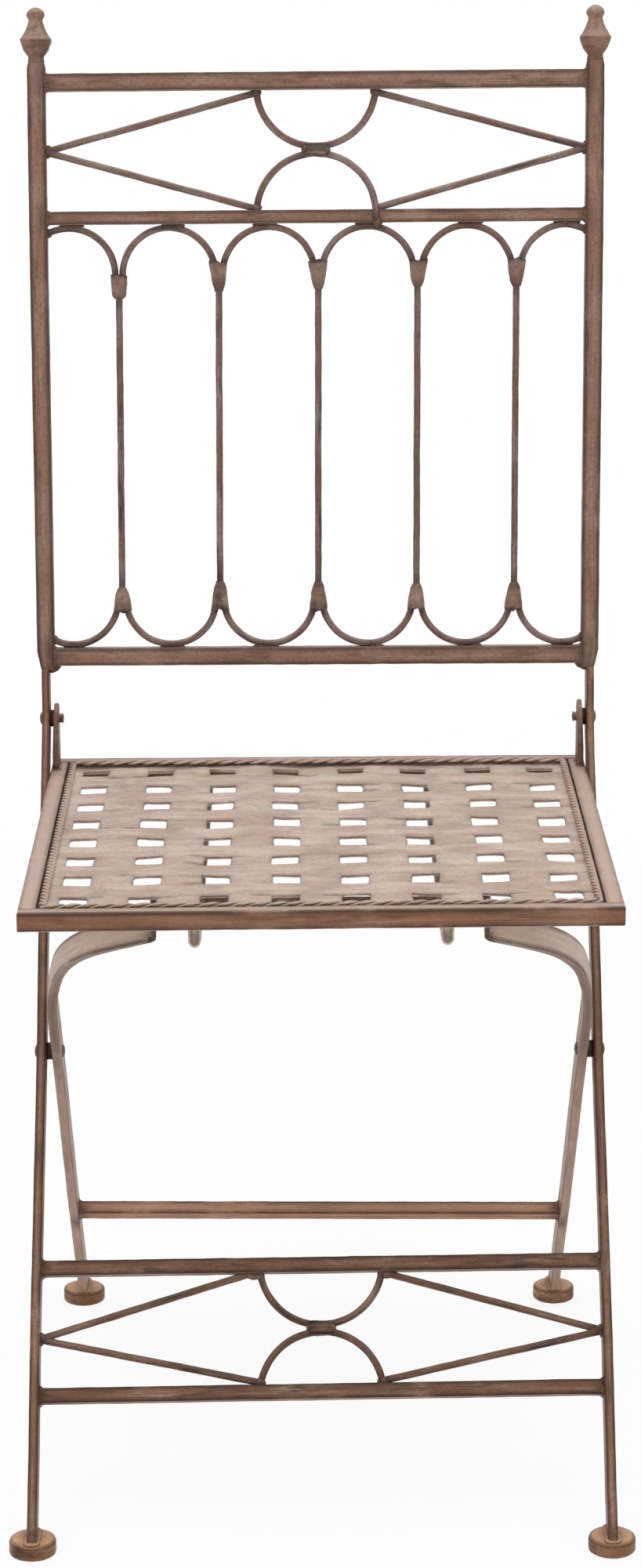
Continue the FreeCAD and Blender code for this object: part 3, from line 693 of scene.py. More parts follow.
arcadeLook = {"pitch": 67.0, "count": 5, "bar": 4.5, "gap": 0.6, "tail": 0.8, "tailGap": 0.4, "rise": 8.2,
              "drop": 9.8, "lowCollar": 10.0, "stretch": (0.8, 1.2, 1.1, 0.95, 1.0), "endWeld": (6.4, 4.4),
              "weldLong": (14, 19), "weldThick": 3.2, "weldAside": 3.5, "weldClear": 8,
              "mouth": (0.06, 0.05), "ragged": (0.9, 0.6), "rim": (-2.2, -0.8)}
pitch = arcadeLook["pitch"]
rodXs = (np.arange(arcadeLook["count"]) - (arcadeLook["count"] - 1) / 2) * pitch
archRadius = (pitch - arcadeLook["bar"] - arcadeLook["gap"]) / 2
archDrop = archRadius + arcadeLook["bar"] / 2


def collarDrop(x, way):                      # the left upper collar hangs lower than the rest
    return arcadeLook["lowCollar"] if way > 0 and x < rodXs[0] + 5 else 0.0


def addArches(name, railUp, way, seed):
    # half circles between the rods, cut off at the posts, with straight tails into the collars
    section = roundSection(arcadeLook["bar"], 14, 2.4)
    spring = railUp - way * archDrop
    middles = np.r_[rodXs - pitch / 2, rodXs[-1] + pitch / 2]
    stop, touch = (math.acos((postInner + sink - abs(middles[0])) / archRadius) for sink in (0.6, 0.0))
    shells = []
    for k, middle in enumerate(middles):
        isFirst, isLast = k == 0, k == len(middles) - 1
        angle = np.linspace(math.pi - stop * isFirst, stop * isLast, 60)
        x, up = middle + archRadius * np.cos(angle), spring + way * archRadius * np.sin(angle)
        if not isFirst:
            tail = np.linspace(arcadeLook["tail"] + collarDrop(x[0], way), arcadeLook["tailGap"], 12)
            x, up = np.r_[np.full(12, x[0]), x], np.r_[spring - way * tail, up]
        if not isLast:
            tail = np.linspace(arcadeLook["tailGap"], arcadeLook["tail"] + collarDrop(x[-1], way), 12)
            x, up = np.r_[x, np.full(12, x[-1])], np.r_[up, spring - way * tail]
        shells.append(sweep(backPlace(x, up), backOut, section, seed + k, step=2.5, hammer=0.07, wander=0.2))
        rng = np.random.default_rng(seed + k)
        aside, most = arcadeLook["weldAside"], postInner - arcadeLook["weldClear"]
        spot = backPlace(np.clip(middle + rng.uniform(-aside, aside), -most, most), railUp - way * 0.5)
        long = rng.uniform(*arcadeLook["weldLong"])
        weldBlob(spot, xDir, backOut, long, arcadeLook["weldThick"], seed + 20 + k)
    for side in (-1, 1):
        spot = backPlace(side * (postInner - 0.3), spring + way * archRadius * math.sin(touch))
        weldBlob(spot, backUp, backOut, *arcadeLook["endWeld"], seed + 30 + side)
    addPiece(name, shells, "thin")


def addRods(low, high):
    section = roundSection(arcadeLook["bar"], 14, 2.5)
    for k, x in enumerate(rodXs):
        top = high - archDrop - arcadeLook["tail"] - collarDrop(x, 1)
        path = line(backPlace(x, low + archDrop + arcadeLook["tail"]), backPlace(x, top))
        made = sweep(path, backOut, section, 170 + k, wander=0.15, hammer=0.07)
        addPiece("backRod" + str(k + 1), [made], "thin")


def addCollars(name, railUp, way, seed):
    # a tulip: narrow at the rod, swelling to the arches, with a ragged open mouth
    rise, drop = arcadeLook["rise"], arcadeLook["drop"]
    (mouth3, mouth5), (ragged2, ragged5) = arcadeLook["mouth"], arcadeLook["ragged"]
    tulip = [(-drop - 0.4, 2.2), (-drop, 2.8), (-drop + 1.2, 3.3), (-6.6, 4.1), (-3.4, 4.8), (0.0, 5.3),
             (3.5, 5.75), (6.3, 6.0), (7.8, 6.1), (rise, 5.9), (7.9, 5.4), (6.6, 4.9), (5.2, 4.3), (4.6, 0.6)]
    boxy = [(-drop + 1.6, 2.4), (-drop + 1.8, 3.0), (-drop + 3.6, 4.2), (-5.0, 4.7), (-1.0, 5.0), (5.0, 5.3),
            (9.2, 5.45), (9.6, 5.0), (9.0, 4.3), (7.6, 0.6)]
    shells = []
    for k, x in enumerate(rodXs):
        low, shift = collarDrop(x, way), seed + k
        spring = railUp - way * (archDrop + low)

        def mouth(angle, d):                 # the rim waves in and out where it was hammered open
            wave = mouth3 * np.sin(3 * angle + shift) + mouth5 * np.sin(5 * angle + 2 * shift)
            return 1 + wave * between(d[:, None], -6, 4)

        def ragged(angle, d):                # and up and down
            wave = ragged2 * np.sin(2 * angle + 3 * shift) + ragged5 * np.sin(5 * angle + shift)
            return wave * between(d[:, None], 1, 7)
        profile = np.array(boxy if low else tulip)
        profile[:, 0] *= np.where(profile[:, 0] < 0, arcadeLook["stretch"][k], 1.0)
        middle, upward = backPlace(x, spring), way * backUp
        made = turned(profile, middle, upward, xDir, shift, 36, rough=0.2, shape=mouth, flat=0.85,
                      lift=ragged)
        fromRim = (made["verts"] - middle) @ upward - profile[:, 0].max()
        made["edge"] = np.maximum(made["edge"], between(fromRim, *arcadeLook["rim"]))
        shells.append(made)                  # the rim and the hollow behind it are dark
        weldSpots.extend(backPlace(np.full(2, x), spring + way * np.array([-drop, rise])))
    addPiece(name, shells, "collar")


bottomTop = railLook["lowUnder"] + railLook["side"]
addArches("topArches", railLook["panelUnder"], 1, 100)
addArches("bottomArches", bottomTop, -1, 130)
addRods(bottomTop, railLook["panelUnder"])
addCollars("topCollars", railLook["panelUnder"], 1, 180)
addCollars("bottomCollars", bottomTop, -1, 190)
print("arcade made")


# Front legs, their stretchers and panel

legLook = {"thick": 6.2, "wide": 20.0, "bend": 30.0, "lean": 31.0, "corner": 1.0, "footTop": 10.0,
           "below": 14.0, "slimIn": 0.9, "slimOut": 0.3, "slimBelow": 80.0, "slimRun": 35.0}
stretchLook = {"side": 10.0, "low": 91.8, "pitch": 82.8, "corner": 1.0, "weld": 1.3, "swell": 2.6,
               "rearSwell": 1.8, "lowTilt": (-1.2, 3.2), "highTilt": (-0.6, 3.2), "rearTilt": (0.6, -4.8)}
frontPlane = leanedPlane(np.array([0, middleOf("frontFootRight")[1], legLook["footTop"]]), legLook["lean"])
frontPlace, frontUp, _ = frontPlane
legInner = legX - legLook["thick"] / 2
stretchHigh = stretchLook["low"] + stretchLook["pitch"]


def standOn(made, upDir, level):             # what reaches below a level slides back up the leg to it
    under = np.minimum(made["verts"][:, 2] - level, 0)
    made["verts"] = made["verts"] - (under / upDir[2])[:, None] * upDir


def addFrontLegs():
    look = legLook
    section = barSection(look["thick"], look["wide"], look["corner"], flats=5)
    for side, hand in hands:
        foot = frontPlace(side * legX, -look["below"])
        route = [foot, hinge + side * legX * xDir, backPlace(side * legX, postLook["foot"] + 0.5)]
        slimStart = np.linalg.norm(route[1] - foot) - look["slimBelow"]

        def slim(s, length):                 # the bar is drawn thinner above the seat
            share = between(s - slimStart, 0, look["slimRun"])
            drawn = (look["slimIn"] + look["slimOut"]) / look["thick"]
            return 1 - drawn * share, 1.0, side * share * (look["slimIn"] - look["slimOut"]) / 2, 0.0
        path = bentPath(route, [look["bend"]])
        made = sweep(path, xDir, section, 210 + side, step=3.0, hammer=0.06, wander=0.12, grow=slim)
        standOn(made, frontUp, look["footTop"] - 0.5)
        addPiece("frontLeg" + hand, [made], "leg")
        weldSpots.extend(frontPlace(side * legX, 0.0, np.array([-9.0, 0.0, 9.0])))
        weldSpots.append(backPlace(side * legX, postLook["foot"]))


def tilt(x, ends):                           # a straight line between the heights of a bar's two ends
    return ends[0] + (ends[1] - ends[0]) * (np.asarray(x) + legInner) / (2 * legInner)


def addStretcher(name, look, plane, up, ends, half, seed, ringSeed, swell, body="back_frame"):
    place, upDir, outDir = plane
    wide = stretchLook["side"]
    x = np.linspace(-half - 0.5, half + 0.5, 240)
    section = barSection(wide, wide, stretchLook["corner"])
    path = place(x, up + tilt(x, ends))
    addPiece(name, [sweep(path, outDir, section, seed, step=1.0, grow=fillet(wide / 2, swell))], look, body)
    ring = wide / 2 - weldLook["sink"]
    for side in (-1, 1):
        spot = place(side * (half - 0.3), up + ends[side > 0])
        weldRing(spot, outDir, upDir, ring, ring, stretchLook["weld"], ringSeed + side, body)


def frontSkew(x, up):                        # the front panel follows both tilted stretchers
    share = (np.asarray(up) - stretchLook["low"]) / stretchLook["pitch"]
    return tilt(x, stretchLook["lowTilt"]) * (1 - share) + tilt(x, stretchLook["highTilt"]) * share


addFrontLegs()
for name, up, key, seed, ringSeed in (("Lower", stretchLook["low"], "lowTilt", 220, 230),
                                      ("Upper", stretchHigh, "highTilt", 225, 233)):
    addStretcher("frontStretcher" + name, "stretcher", frontPlane, up, stretchLook[key], legInner, seed,
                 ringSeed, stretchLook["swell"])
halfStretch = stretchLook["side"] / 2
addMotif("frontPanel", frontPlane, stretchLook["low"] + halfStretch, stretchHigh - halfStretch, legInner, 4.5,
         240, frontSkew, "panel")
print("front legs, stretchers and panel made")


# Feet, for all four legs

footLook = {"radius": 15.25, "tall": 10.0, "round": 2.5, "dome": 0.5, "rimDark": 0.7, "count": 48,
            "beadWide": 2.4, "beadTall": 4.2, "beadOut": 0.6}
rearLean = -43.5


def addFoot(name, body, seed, lean):
    # a disc with a quarter-circle lip and a low dome, and a lumpy bead round the leg on it
    r, tall, soft, dome = (footLook[key] for key in ("radius", "tall", "round", "dome"))
    count = footLook["count"]
    angle = np.linspace(0, math.pi / 2, 6)
    lip = np.stack([tall - soft + soft * np.sin(angle), r - soft + soft * np.cos(angle)], -1)
    crown = [(tall + dome * (1 - t * t), (r - soft) * t) for t in (0.8, 0.55, 0.3, 0.05)]
    profile = [(0.0, r - 1.6), (0.05, r - 0.9), (0.5, r - 0.25), (1.2, r)] + lip.tolist() + crown
    centre = middleOf(name) * [1, 1, 0]
    made = turned(profile, centre, zDir, xDir, seed, count, rough=0.1)
    made["edge"][count * 5:count * 9] = footLook["rimDark"]
    halfLong = min(legLook["wide"] / 2 / math.cos(math.radians(lean)), r - soft)
    out = footLook["beadOut"]
    ring = barSection(legLook["thick"] + out, 2 * halfLong + out, 2.0, flats=8)["points"]
    path = centre + np.column_stack([ring, np.full(len(ring), tall + dome - weldLook["sink"])])

    def lumps(s, length):
        big = 1 + 0.3 * forged(s, seed, 12.0)
        return big, big, 0.0, 0.0
    section = roundSection(footLook["beadWide"], 10, tall=footLook["beadTall"])
    bead = sweep(path, zDir, section, seed, weldLook["step"], grow=lumps, closed=True)
    bead["edge"] = np.zeros(len(bead["verts"]))
    addPiece(name, [made, bead], "foot", body)


for k, (_, hand) in enumerate(hands):
    addFoot("frontFoot" + hand, "back_frame", 260 + k, legLook["lean"])
    addFoot("rearFoot" + hand, "rear_legs", 264 + k, rearLean)
print("feet made")


# Rear legs, their stretcher and the slide rod

rearLook = {"easeStart": 57.4, "easeRadius": 250.0, "easeAngle": 13.1, "easeRun": 0.5, "bendRadius": 51.4,
            "bendAngle": 53.9, "armHalfGap": 101.1, "endBend": 7.0, "tipUp": 201.5, "below": 18.0,
            "stretcherUp": 132.5, "slideUp": 194.4, "slideWide": 10.0, "slideWeld": 1.5, "tipDark": 15.0,
            "thin": 0.5, "thinFrom": 125.0, "thinOver": 70.0}
rearX = middleOf("rearFootRight")[0]
rearPlane = leanedPlane(pivot, rearLean)
rearPlace, rearUp, rearOut = rearPlane
rearFootUp = -(pivot[2] - legLook["footTop"]) / rearUp[2]
slideHalf = rearLook["armHalfGap"] + legLook["thick"] * rearLook["thin"]


def addRearLegs():
    # a slight bend, then the elbow: each corner stands radius * tan(half its angle) past its bend's start
    look, thick = rearLook, legLook["thick"]
    section = barSection(legLook["wide"], thick, legLook["corner"], flats=5)
    ease, bend = math.radians(look["easeAngle"]), math.radians(look["bendAngle"])
    easeReach = look["easeRadius"] * math.tan(ease / 2)
    apart = easeReach + look["easeRun"] + look["bendRadius"] * math.tan(bend / 2)
    easeUp = look["easeStart"] + easeReach
    cornerX, cornerUp = rearX - apart * math.sin(ease), easeUp + apart * math.cos(ease)
    endX = look["armHalfGap"] + thick / 2
    endUp = cornerUp + (cornerX - endX) / math.tan(ease + bend)
    xs = np.array([rearX, rearX, cornerX, endX, endX])
    ups = np.array([rearFootUp - look["below"], easeUp, cornerUp, endUp, look["tipUp"]])
    for side, hand in hands:
        def hammered(s, length):             # the arm thins towards its end and keeps its outer face
            start = length - look["thinFrom"]
            thin = look["thin"] * smooth(between(s, start, start + look["thinOver"]))
            return 1.0, 1 - thin, 0.0, -side * thin * thick / 2
        path = bentPath(rearPlace(side * xs, ups), [look["easeRadius"], look["bendRadius"], look["endBend"]])
        made = sweep(path, rearOut, section, 280 + side, step=2.5, grow=hammered)
        standOn(made, rearUp, legLook["footTop"] - 0.5)
        fromTip = np.linalg.norm(made["verts"] - path[-1], axis=1)
        made["edge"] = np.maximum(made["edge"], np.exp(-(fromTip / look["tipDark"]) ** 4))    # dark with weld, and painted shade on the bent end
        addPiece("rearLeg" + hand, [made], "arm", "rear_legs")
        weldSpots.extend(rearPlace(side * rearX, rearFootUp, np.array([-9.0, 0.0, 9.0])))
        # weld colour and painted shade along the arm's bent end
        weldSpots.extend(rearPlace(side * endX, np.linspace(endUp, look["tipUp"], 8), -10.0))
        spot = rearPlace(side * (slideHalf - 0.5), look["slideUp"])
        half = look["slideWide"] / 2
        weldRing(spot, rearOut, rearUp, half, half, look["slideWeld"], 290 + side, "rear_legs")


def addSlideRod():
    reach = slideHalf + 0.3
    path = rearPlace(np.linspace(-reach, reach, 120), rearLook["slideUp"])
    made = sweep(path, rearOut, roundSection(rearLook["slideWide"], 20), 310, hammer=0.06)
    addPiece("slideRod", [made], "rod", "rear_legs")


addRearLegs()
addStretcher("rearStretcher", "rearBar", rearPlane, rearFootUp + rearLook["stretcherUp"],
             stretchLook["rearTilt"], rearX - legLook["thick"] / 2, 300, 305, stretchLook["rearSwell"],
             "rear_legs")
addSlideRod()
print("rear legs made")


# Seat: frame, pierced sheet, rope trim, hinge tabs and guide bars

seatLook = {"railWide": 11.0, "railTall": 12.0, "corner": 1.1, "overlap": 0.3}
seatHalf, seatTop = seatHigh[0], seatHigh[2]
seatDeep, seatMiddle = seatHigh[1] - seatLow[1], (seatLow[1] + seatHigh[1]) / 2
railInner = seatHalf - seatLook["railWide"]


def addSeatRails():
    w, tall = seatLook["railWide"], seatLook["railTall"]
    z = seatTop - tall / 2
    section = barSection(w, tall, seatLook["corner"])
    aside, front, rear = seatHalf - w / 2, seatLow[1] + w / 2, seatHigh[1] - w / 2
    sideFront, sideRear = front + w / 2 - seatLook["overlap"], rear - w / 2 + seatLook["overlap"]
    runs = (("Front", (-seatHalf, front, z), (seatHalf, front, z), yDir, "rail"),
            ("Rear", (-seatHalf, rear, z), (seatHalf, rear, z), yDir, "rail"),
            ("Left", (-aside, sideFront, z), (-aside, sideRear, z), xDir, "sideRail"),
            ("Right", (aside, sideFront, z), (aside, sideRear, z), xDir, "sideRail"))
    for k, (name, start, end, normal, look) in enumerate(runs):
        made = sweep(line(start, end), normal, section, 320 + 4 * k, endRound=1.0, wander=0.12)
        addPiece("seatRail" + name, [made], look, "seat")


sheetLook = {"pitch": 43.3, "holes": 8, "holeWide": 17.0, "holeDeep": 18.6, "holeRound": 1.5, "drop": 2.2,
             "thick": 1.7, "clear": 0.2, "dent": 0.45, "dentSize": 70.0, "fine": 0.18, "weave": 0.06,
             "weaveX": 5.4, "weaveY": 7.2, "pillow": 0.45, "pillowHalf": 9.0, "pinch": 0.55, "crease": 0.6,
             "lip": 0.5, "lipRun": 1.3, "ridge": 0.22, "ridgeAt": 2.8, "rearShallow": 0.35, "flatRim": 8.0,
             "sideTrenchShade": (3.5, 2.0), "rearRopeShadow": (12.0, 7.5), "holeEdgeShade": 0.66, "creaseShade": 0.95,
             "shadeMost": 0.75, "skew": 0.8, "tip": 0.05, "skewRun": 2.2, "pinchAside": 4.0,
             "pinchSize": (1.5, 5.0, 7.0), "creaseFrom": 5.0, "creaseLong": 7.0, "creaseWide": 1.8,
             "creaseDrift": 2.5, "ridgeWide": 1.8}


def sheetLines(middle, half, size):
    # grid lines across one way: close together at the hole edges, about 2 mm apart elsewhere
    count = sheetLook["holes"]
    centres = middle + (np.arange(count) - (count - 1) / 2) * sheetLook["pitch"]
    near = size / 2 - np.array([-1.6, -0.7, 0.0, 0.8, 1.6, 2.6])
    edges = np.concatenate([centres[:, None] - near, centres[:, None] + near], 1).ravel()
    fill = np.arange(middle - half + 2, middle + half - 1, 2.0)
    gap = np.abs(fill[:, None] - edges).min(1)
    return centres, np.sort(np.r_[middle - half, middle + half, edges, fill[gap > 1.3]])


def isOpen(lines, holes, half):              # whether the strip between two grid lines crosses a hole
    return (np.abs((lines[:-1] + lines[1:])[:, None] / 2 - holes) < half).any(1)


def addSheet():
    # height over (x, y): shallow dents, a pressed weave of two crossed sines and lips drawn down at the holes
    look = sheetLook
    pitch, r, touch = look["pitch"], look["holeRound"], 1e-6
    halfX, halfY = railInner - look["clear"], seatDeep / 2 - seatLook["railWide"] - look["clear"]
    halfW, halfD = look["holeWide"] / 2, look["holeDeep"] / 2
    holeX, lineX = sheetLines(0.0, halfX, look["holeWide"])
    holeY, lineY = sheetLines(seatMiddle, halfY, look["holeDeep"])
    rng = np.random.default_rng(5)
    x, y = np.meshgrid(lineX, lineY, indexing="ij")
    cellX, cellY = np.abs(x[..., None] - holeX).argmin(-1), np.abs(y[..., None] - holeY).argmin(-1)
    cells, rows = (len(holeX), len(holeY)), (len(holeX) + 1, len(holeY))
    u, v = x - holeX[cellX], y - holeY[cellY]
    deepX, deepY = halfW - np.abs(u), halfD - np.abs(v)
    onX = (np.abs(deepX) < touch) & (deepY > -touch) & (deepY < r)
    onY = (np.abs(deepY) < touch) & (deepX > -touch) & (deepX < r)
    angle = math.pi / 4 * np.where(onY, 1 + deepX / r, 1 - deepY / r)
    u = np.where(onX | onY, np.sign(u) * (halfW - r + r * np.cos(angle)), u)
    v = np.where(onX | onY, np.sign(v) * (halfD - r + r * np.sin(angle)), v)
    away = np.maximum(np.maximum(-deepX, -deepY), 0)
    near = np.exp(-away / look["skewRun"])
    skew = rng.uniform(-look["skew"], look["skew"], (2, *cells))[:, cellX, cellY]
    tip = rng.normal(0, look["tip"], cells)[cellX, cellY]    # each hole a little out of square
    shallow = 1 - look["rearShallow"] * (cellY == len(holeY) - 1) * near
    xMoved = holeX[cellX] + u + (skew[0] + 0.5 * tip * v) * near
    yMoved = holeY[cellY] + v * shallow + (skew[1] + tip * u) * near
    inside = (np.abs(x) < halfX - 0.01) & (np.abs(y - seatMiddle) < halfY - 0.01)
    x, y = np.where(inside, xMoved, x), np.where(inside, yMoved, y)
    midRow = np.clip(np.round((x - holeX[0]) / pitch + 0.5), 0, len(holeX)).astype(int)
    fromMid = x - holeX[0] - (midRow - 0.5) * pitch
    bulge = np.exp(-(fromMid / look["pillowHalf"]) ** 2) * (0.6 + 0.4 * np.cos(v * 2 * math.pi / pitch))
    size = rng.normal(0, look["pinch"], rows)[midRow, cellY]
    along = fromMid - rng.uniform(-look["pinchAside"], look["pinchAside"], rows)[midRow, cellY]
    steep, wide, deep = look["pinchSize"]
    pressed = size * np.tanh(along / steep) * np.exp(-(along / wide) ** 2 - (v / deep) ** 2)
    creased = np.zeros_like(x)
    window = np.exp(-((np.abs(u) - halfW - look["creaseFrom"]) / look["creaseLong"]) ** 2)
    most, half = look["creaseDrift"], (u > 0).astype(int)
    for edgeV in (-halfD, halfD):            # creases that run sideways from the corners of the holes
        size = rng.normal(0, look["crease"], (2, *cells))[half, cellX, cellY]
        drift = rng.uniform(-most, most, (2, *cells))[half, cellX, cellY]
        creased = creased + size * window * np.exp(-((v - edgeV - drift) / look["creaseWide"]) ** 2)
    woven = np.sin(x * 2 * math.pi / look["weaveX"]) * np.sin(y * 2 * math.pi / look["weaveY"])
    relief = look["dent"] * dents(x, y, 330, look["dentSize"]) + look["pillow"] * bulge + pressed + creased
    relief = relief + look["weave"] * woven + look["fine"] * dents(x * 0.35, y, 331)
    relief = relief - look["lip"] * np.exp(-away / look["lipRun"])
    relief = relief + look["ridge"] * np.exp(-(away - look["ridgeAt"]) ** 2 / look["ridgeWide"])
    fromSide, fromRear = halfX - np.abs(x), halfY - (y - seatMiddle)
    fade = between(np.minimum(fromSide, halfY - np.abs(y - seatMiddle)), 0, look["flatRim"])
    # painted shade in the gap beside the side rails, and a painted shadow of the rear rope on the sheet in
    # front of it
    trenchShade = np.maximum(between(fromSide, *look["sideTrenchShade"]), between(fromRear, *look["rearRopeShadow"]))
    # painted shade: the sheet darkens at the hole edges and in the valleys of its creases
    wearAndShade = look["holeEdgeShade"] * np.exp(-away) + look["creaseShade"] * np.maximum(-creased, 0)
    edge = np.maximum(np.minimum(wearAndShade, look["shadeMost"]), trenchShade)
    z = seatTop - look["drop"] + relief * fade
    m = len(lineY)
    i, j = np.nonzero(~(isOpen(lineX, holeX, halfW)[:, None] & isOpen(lineY, holeY, halfD)))
    quads = np.stack([i * m + j, (i + 1) * m + j, (i + 1) * m + j + 1, i * m + j + 1], -1)
    used, quads = np.unique(quads, return_inverse=True)
    quads = quads.reshape(-1, 4)
    verts = np.stack([x, y, z], -1).reshape(-1, 3)[used]
    made = skin(verts, quads, verts[quads][..., :2] * [1.3, 0.3], edge.ravel()[used])
    piece = addPiece("seatSheet", [made], "sheet", "seat")
    wall = piece.modifiers.new("sheetThick", "SOLIDIFY")
    wall.thickness = look["thick"] * mm
    wall.offset = -1.0
    wall.use_even_offset = False


ropeLook = {"wide": 5.2, "flat": 0.74, "strand": 3.0, "lay": 21.0, "sideLay": 13.5, "gap": 1.0, "corner": 2.8,
            "waver": 0.25, "crest": (1.85, 1.25), "flank": (1.9, 2.6), "under": (0.6, -0.3)}


def addRope():
    # two strands twisted round a closed line: offset = r (cos, sin) of the turns made so far, half a turn
    # apart; the turns add up along the line, faster on the two sides than at the front and rear
    look = ropeLook
    inset = look["gap"] + look["wide"] / 2
    wide, deep = 2 * (railInner - inset), seatDeep - 2 * (seatLook["railWide"] + inset)
    z = seatTop - sheetLook["drop"] + look["flat"] * look["wide"] / 2
    outline = barSection(wide, deep, look["corner"], flats=60, turns=8)["points"]
    path = np.column_stack([outline, np.full(len(outline), z)]) + seatMiddle * yDir
    swing = (look["wide"] - look["strand"]) / 2
    gone = lengths(np.concatenate([path, path[:1]]))
    sideways = np.abs(np.roll(path[:, 1], -1) - path[:, 1]) / np.diff(gone)
    rate = sideways / look["sideLay"] + (1 - sideways) / look["lay"]
    turns = np.r_[0, np.cumsum(np.diff(gone) * rate)]
    turns = turns * round(turns[-1]) / turns[-1]

    def twist(start):
        def offset(s, length):
            angle = np.interp(s, gone, turns) * 2 * math.pi + start + look["waver"] * forged(s, 341, 160.0)
            return 1.0, 1.0, swing * np.cos(angle), -swing * np.sin(angle)
        return offset
    section = roundSection(look["strand"], 10)
    shells = [sweep(path, zDir, section, 340, step=1.0, wander=0.0, grow=twist(start), closed=True)
              for start in (0.0, math.pi)]
    loops = [made["verts"].reshape(-1, len(section["points"]), 3) for made in shells]
    core = (loops[0].mean(1) + loops[1].mean(1)) / 2
    for made, loop in zip(shells, loops):    # dark where the strands touch, pale on the crests; pressed flat
        near = np.linalg.norm(loop - core[:, None], axis=2).ravel()
        x, y, up = made["verts"].T
        up = (up - z) * look["flat"]
        out = np.maximum(np.abs(x) - wide / 2, np.abs(y - seatMiddle) - deep / 2)
        atRear = (y - seatMiddle > deep / 2 - look["wide"]) & (out < 0)
        # painted shade: dark in the crevices where the strands touch, on the outer flank beside the rail and
        # under the rear run
        dark = np.maximum(between(out, *look["flank"]), between(up, *look["under"]) * atRear)
        made["edge"] = np.maximum(between(near, *look["crest"]), dark)
        made["verts"][:, 2] = z + up
    addPiece("ropeTrim", shells, "rope", "seat")


tabLook = {"thick": 4.2, "wide": 22.0, "topWide": 19.5, "below": 1.0, "thin": 0.3, "thinFrom": 12.0,
           "thinPast": 8.0, "weld": 0.9}


def addTabs():
    # a flat outline, straight sides that lean in to a half circle, carried through its own thickness
    rise = hinge[2] - seatTop
    topHalf, half, foot = tabLook["topWide"] / 2, tabLook["wide"] / 2, -tabLook["below"]
    angle = np.linspace(0, math.pi, 21)
    arc = np.stack([topHalf * np.cos(angle), rise + topHalf * np.sin(angle)], -1)
    left = np.linspace((-topHalf, rise), (-half, foot), 9)[1:]
    base = np.linspace((-half, foot), (half, foot), 7)[1:-1]
    right = np.linspace((half, foot), (topHalf, rise), 9)[:-1]
    outline = np.concatenate([arc, left, base, right])
    section = closeSection(outline - [0, rise / 2], np.full(len(outline), 0.5))
    for side, hand in hands:
        name = "hingeTab" + hand
        low, high = boxOf(name)
        x, y = middleOf(name)[:2]
        path = line((low[0], y, seatTop + rise / 2), (high[0], y, seatTop + rise / 2), step=0.7)
        made = sweep(path, yDir, section, 350 + side, step=1.0, endRound=0.8, wander=0.0, hammer=0.06)
        points = made["verts"]               # thinner towards the top, on the outer side
        thin = between(points[:, 2] - seatTop, tabLook["thinFrom"], rise + tabLook["thinPast"])
        inner = low[0] if side > 0 else high[0]
        points[:, 0] = inner + (points[:, 0] - inner) * (1 - tabLook["thin"] * thin)
        addPiece(name, [made], "bar", "seat")
        spot = np.array([x, y, seatTop])
        weldRing(spot, xDir, yDir, tabLook["thick"] / 2, half, tabLook["weld"], 355 + side, "seat")


guideLook = {"wide": 8.0, "tall": 12.2, "belly": 1.25, "step": 5.5, "stepY": -163.84, "scoop": 1.6,
             "rim": 1.3, "scoopDark": 0.9, "darkFrom": (6, 22), "darkMost": 0.7}


def addGuides():
    # a bar with a round underside along Y; its front end is scooped, and behind the step its foot is level
    half, tall, step, rim = guideLook["wide"] / 2, guideLook["tall"], guideLook["stepY"], guideLook["rim"]
    belly = half * guideLook["belly"]
    angle = np.linspace(math.pi, 2 * math.pi, 15)
    low = np.stack([half * np.cos(angle), belly * (1 + np.sin(angle)) - tall], -1)
    right = np.linspace((half, belly - tall), (half, 0), 6)[1:]
    top = np.linspace((half, 0), (-half, 0), 6)[1:]
    outline = np.concatenate([low, right, top, right[-2::-1] * [-1, 1]])
    section = closeSection(outline, np.full(len(outline), 0.3))
    middle = np.array([0.0, -tall / 2])
    inset = np.r_[rim + 0.5, rim + 0.2, rim - 0.3, 0.75, 0.2, 0.05, np.zeros(111), 0.6]
    flat = middle + (outline - middle) * (1 - inset[:, None, None] / np.array([half, tall / 2]))
    for side, hand in hands:
        name = "guideBar" + hand
        (front, _), (rear, roof) = (corner[1:] for corner in boxOf(name))
        y = np.r_[front + np.array([guideLook["scoop"], 0.9, 0.2, 0.0, 0.25, 0.9]),
                  np.linspace(front + 2, step, 30), step + 0.02, np.linspace(step + 2, rear - 1, 80), rear]
        shelf = np.where(y > step + 0.01, guideLook["step"] - tall, -tall)
        x = middleOf(name)[0] + flat[..., 0] + 0.2 * forged(y, 360 + side)[:, None]
        z = roof + np.maximum(flat[..., 1], shelf[:, None])
        rings = np.stack([x, np.broadcast_to(y[:, None], x.shape), z], -1)
        along = np.r_[0, np.cumsum(np.abs(np.diff(y)))]
        made = shell(rings[:, ::-1], along, section["around"], section["edge"])
        dark = np.minimum(between(y - front, *guideLook["darkFrom"]), guideLook["darkMost"])
        dark[:2] = guideLook["scoopDark"]    # painted shade on the scooped face; its pale rim is a painted reflection
        made["edge"] = np.r_[np.repeat(dark, len(outline)), 1.0, 1.0]
        addPiece(name, [made], "lug", "seat")


addSeatRails()
addSheet()
addRope()
addTabs()
addGuides()
print("seat made")


# Rivets and spacers

rivetLook = {"shank": 3.0, "head": 4.5, "rise": 1.9, "inHead": 3.7, "inRise": 1.3, "stand": 0.9, "inset": 2.3,
             "spacer": 5.75, "bore": 3.2}
dirtReach = 7.0


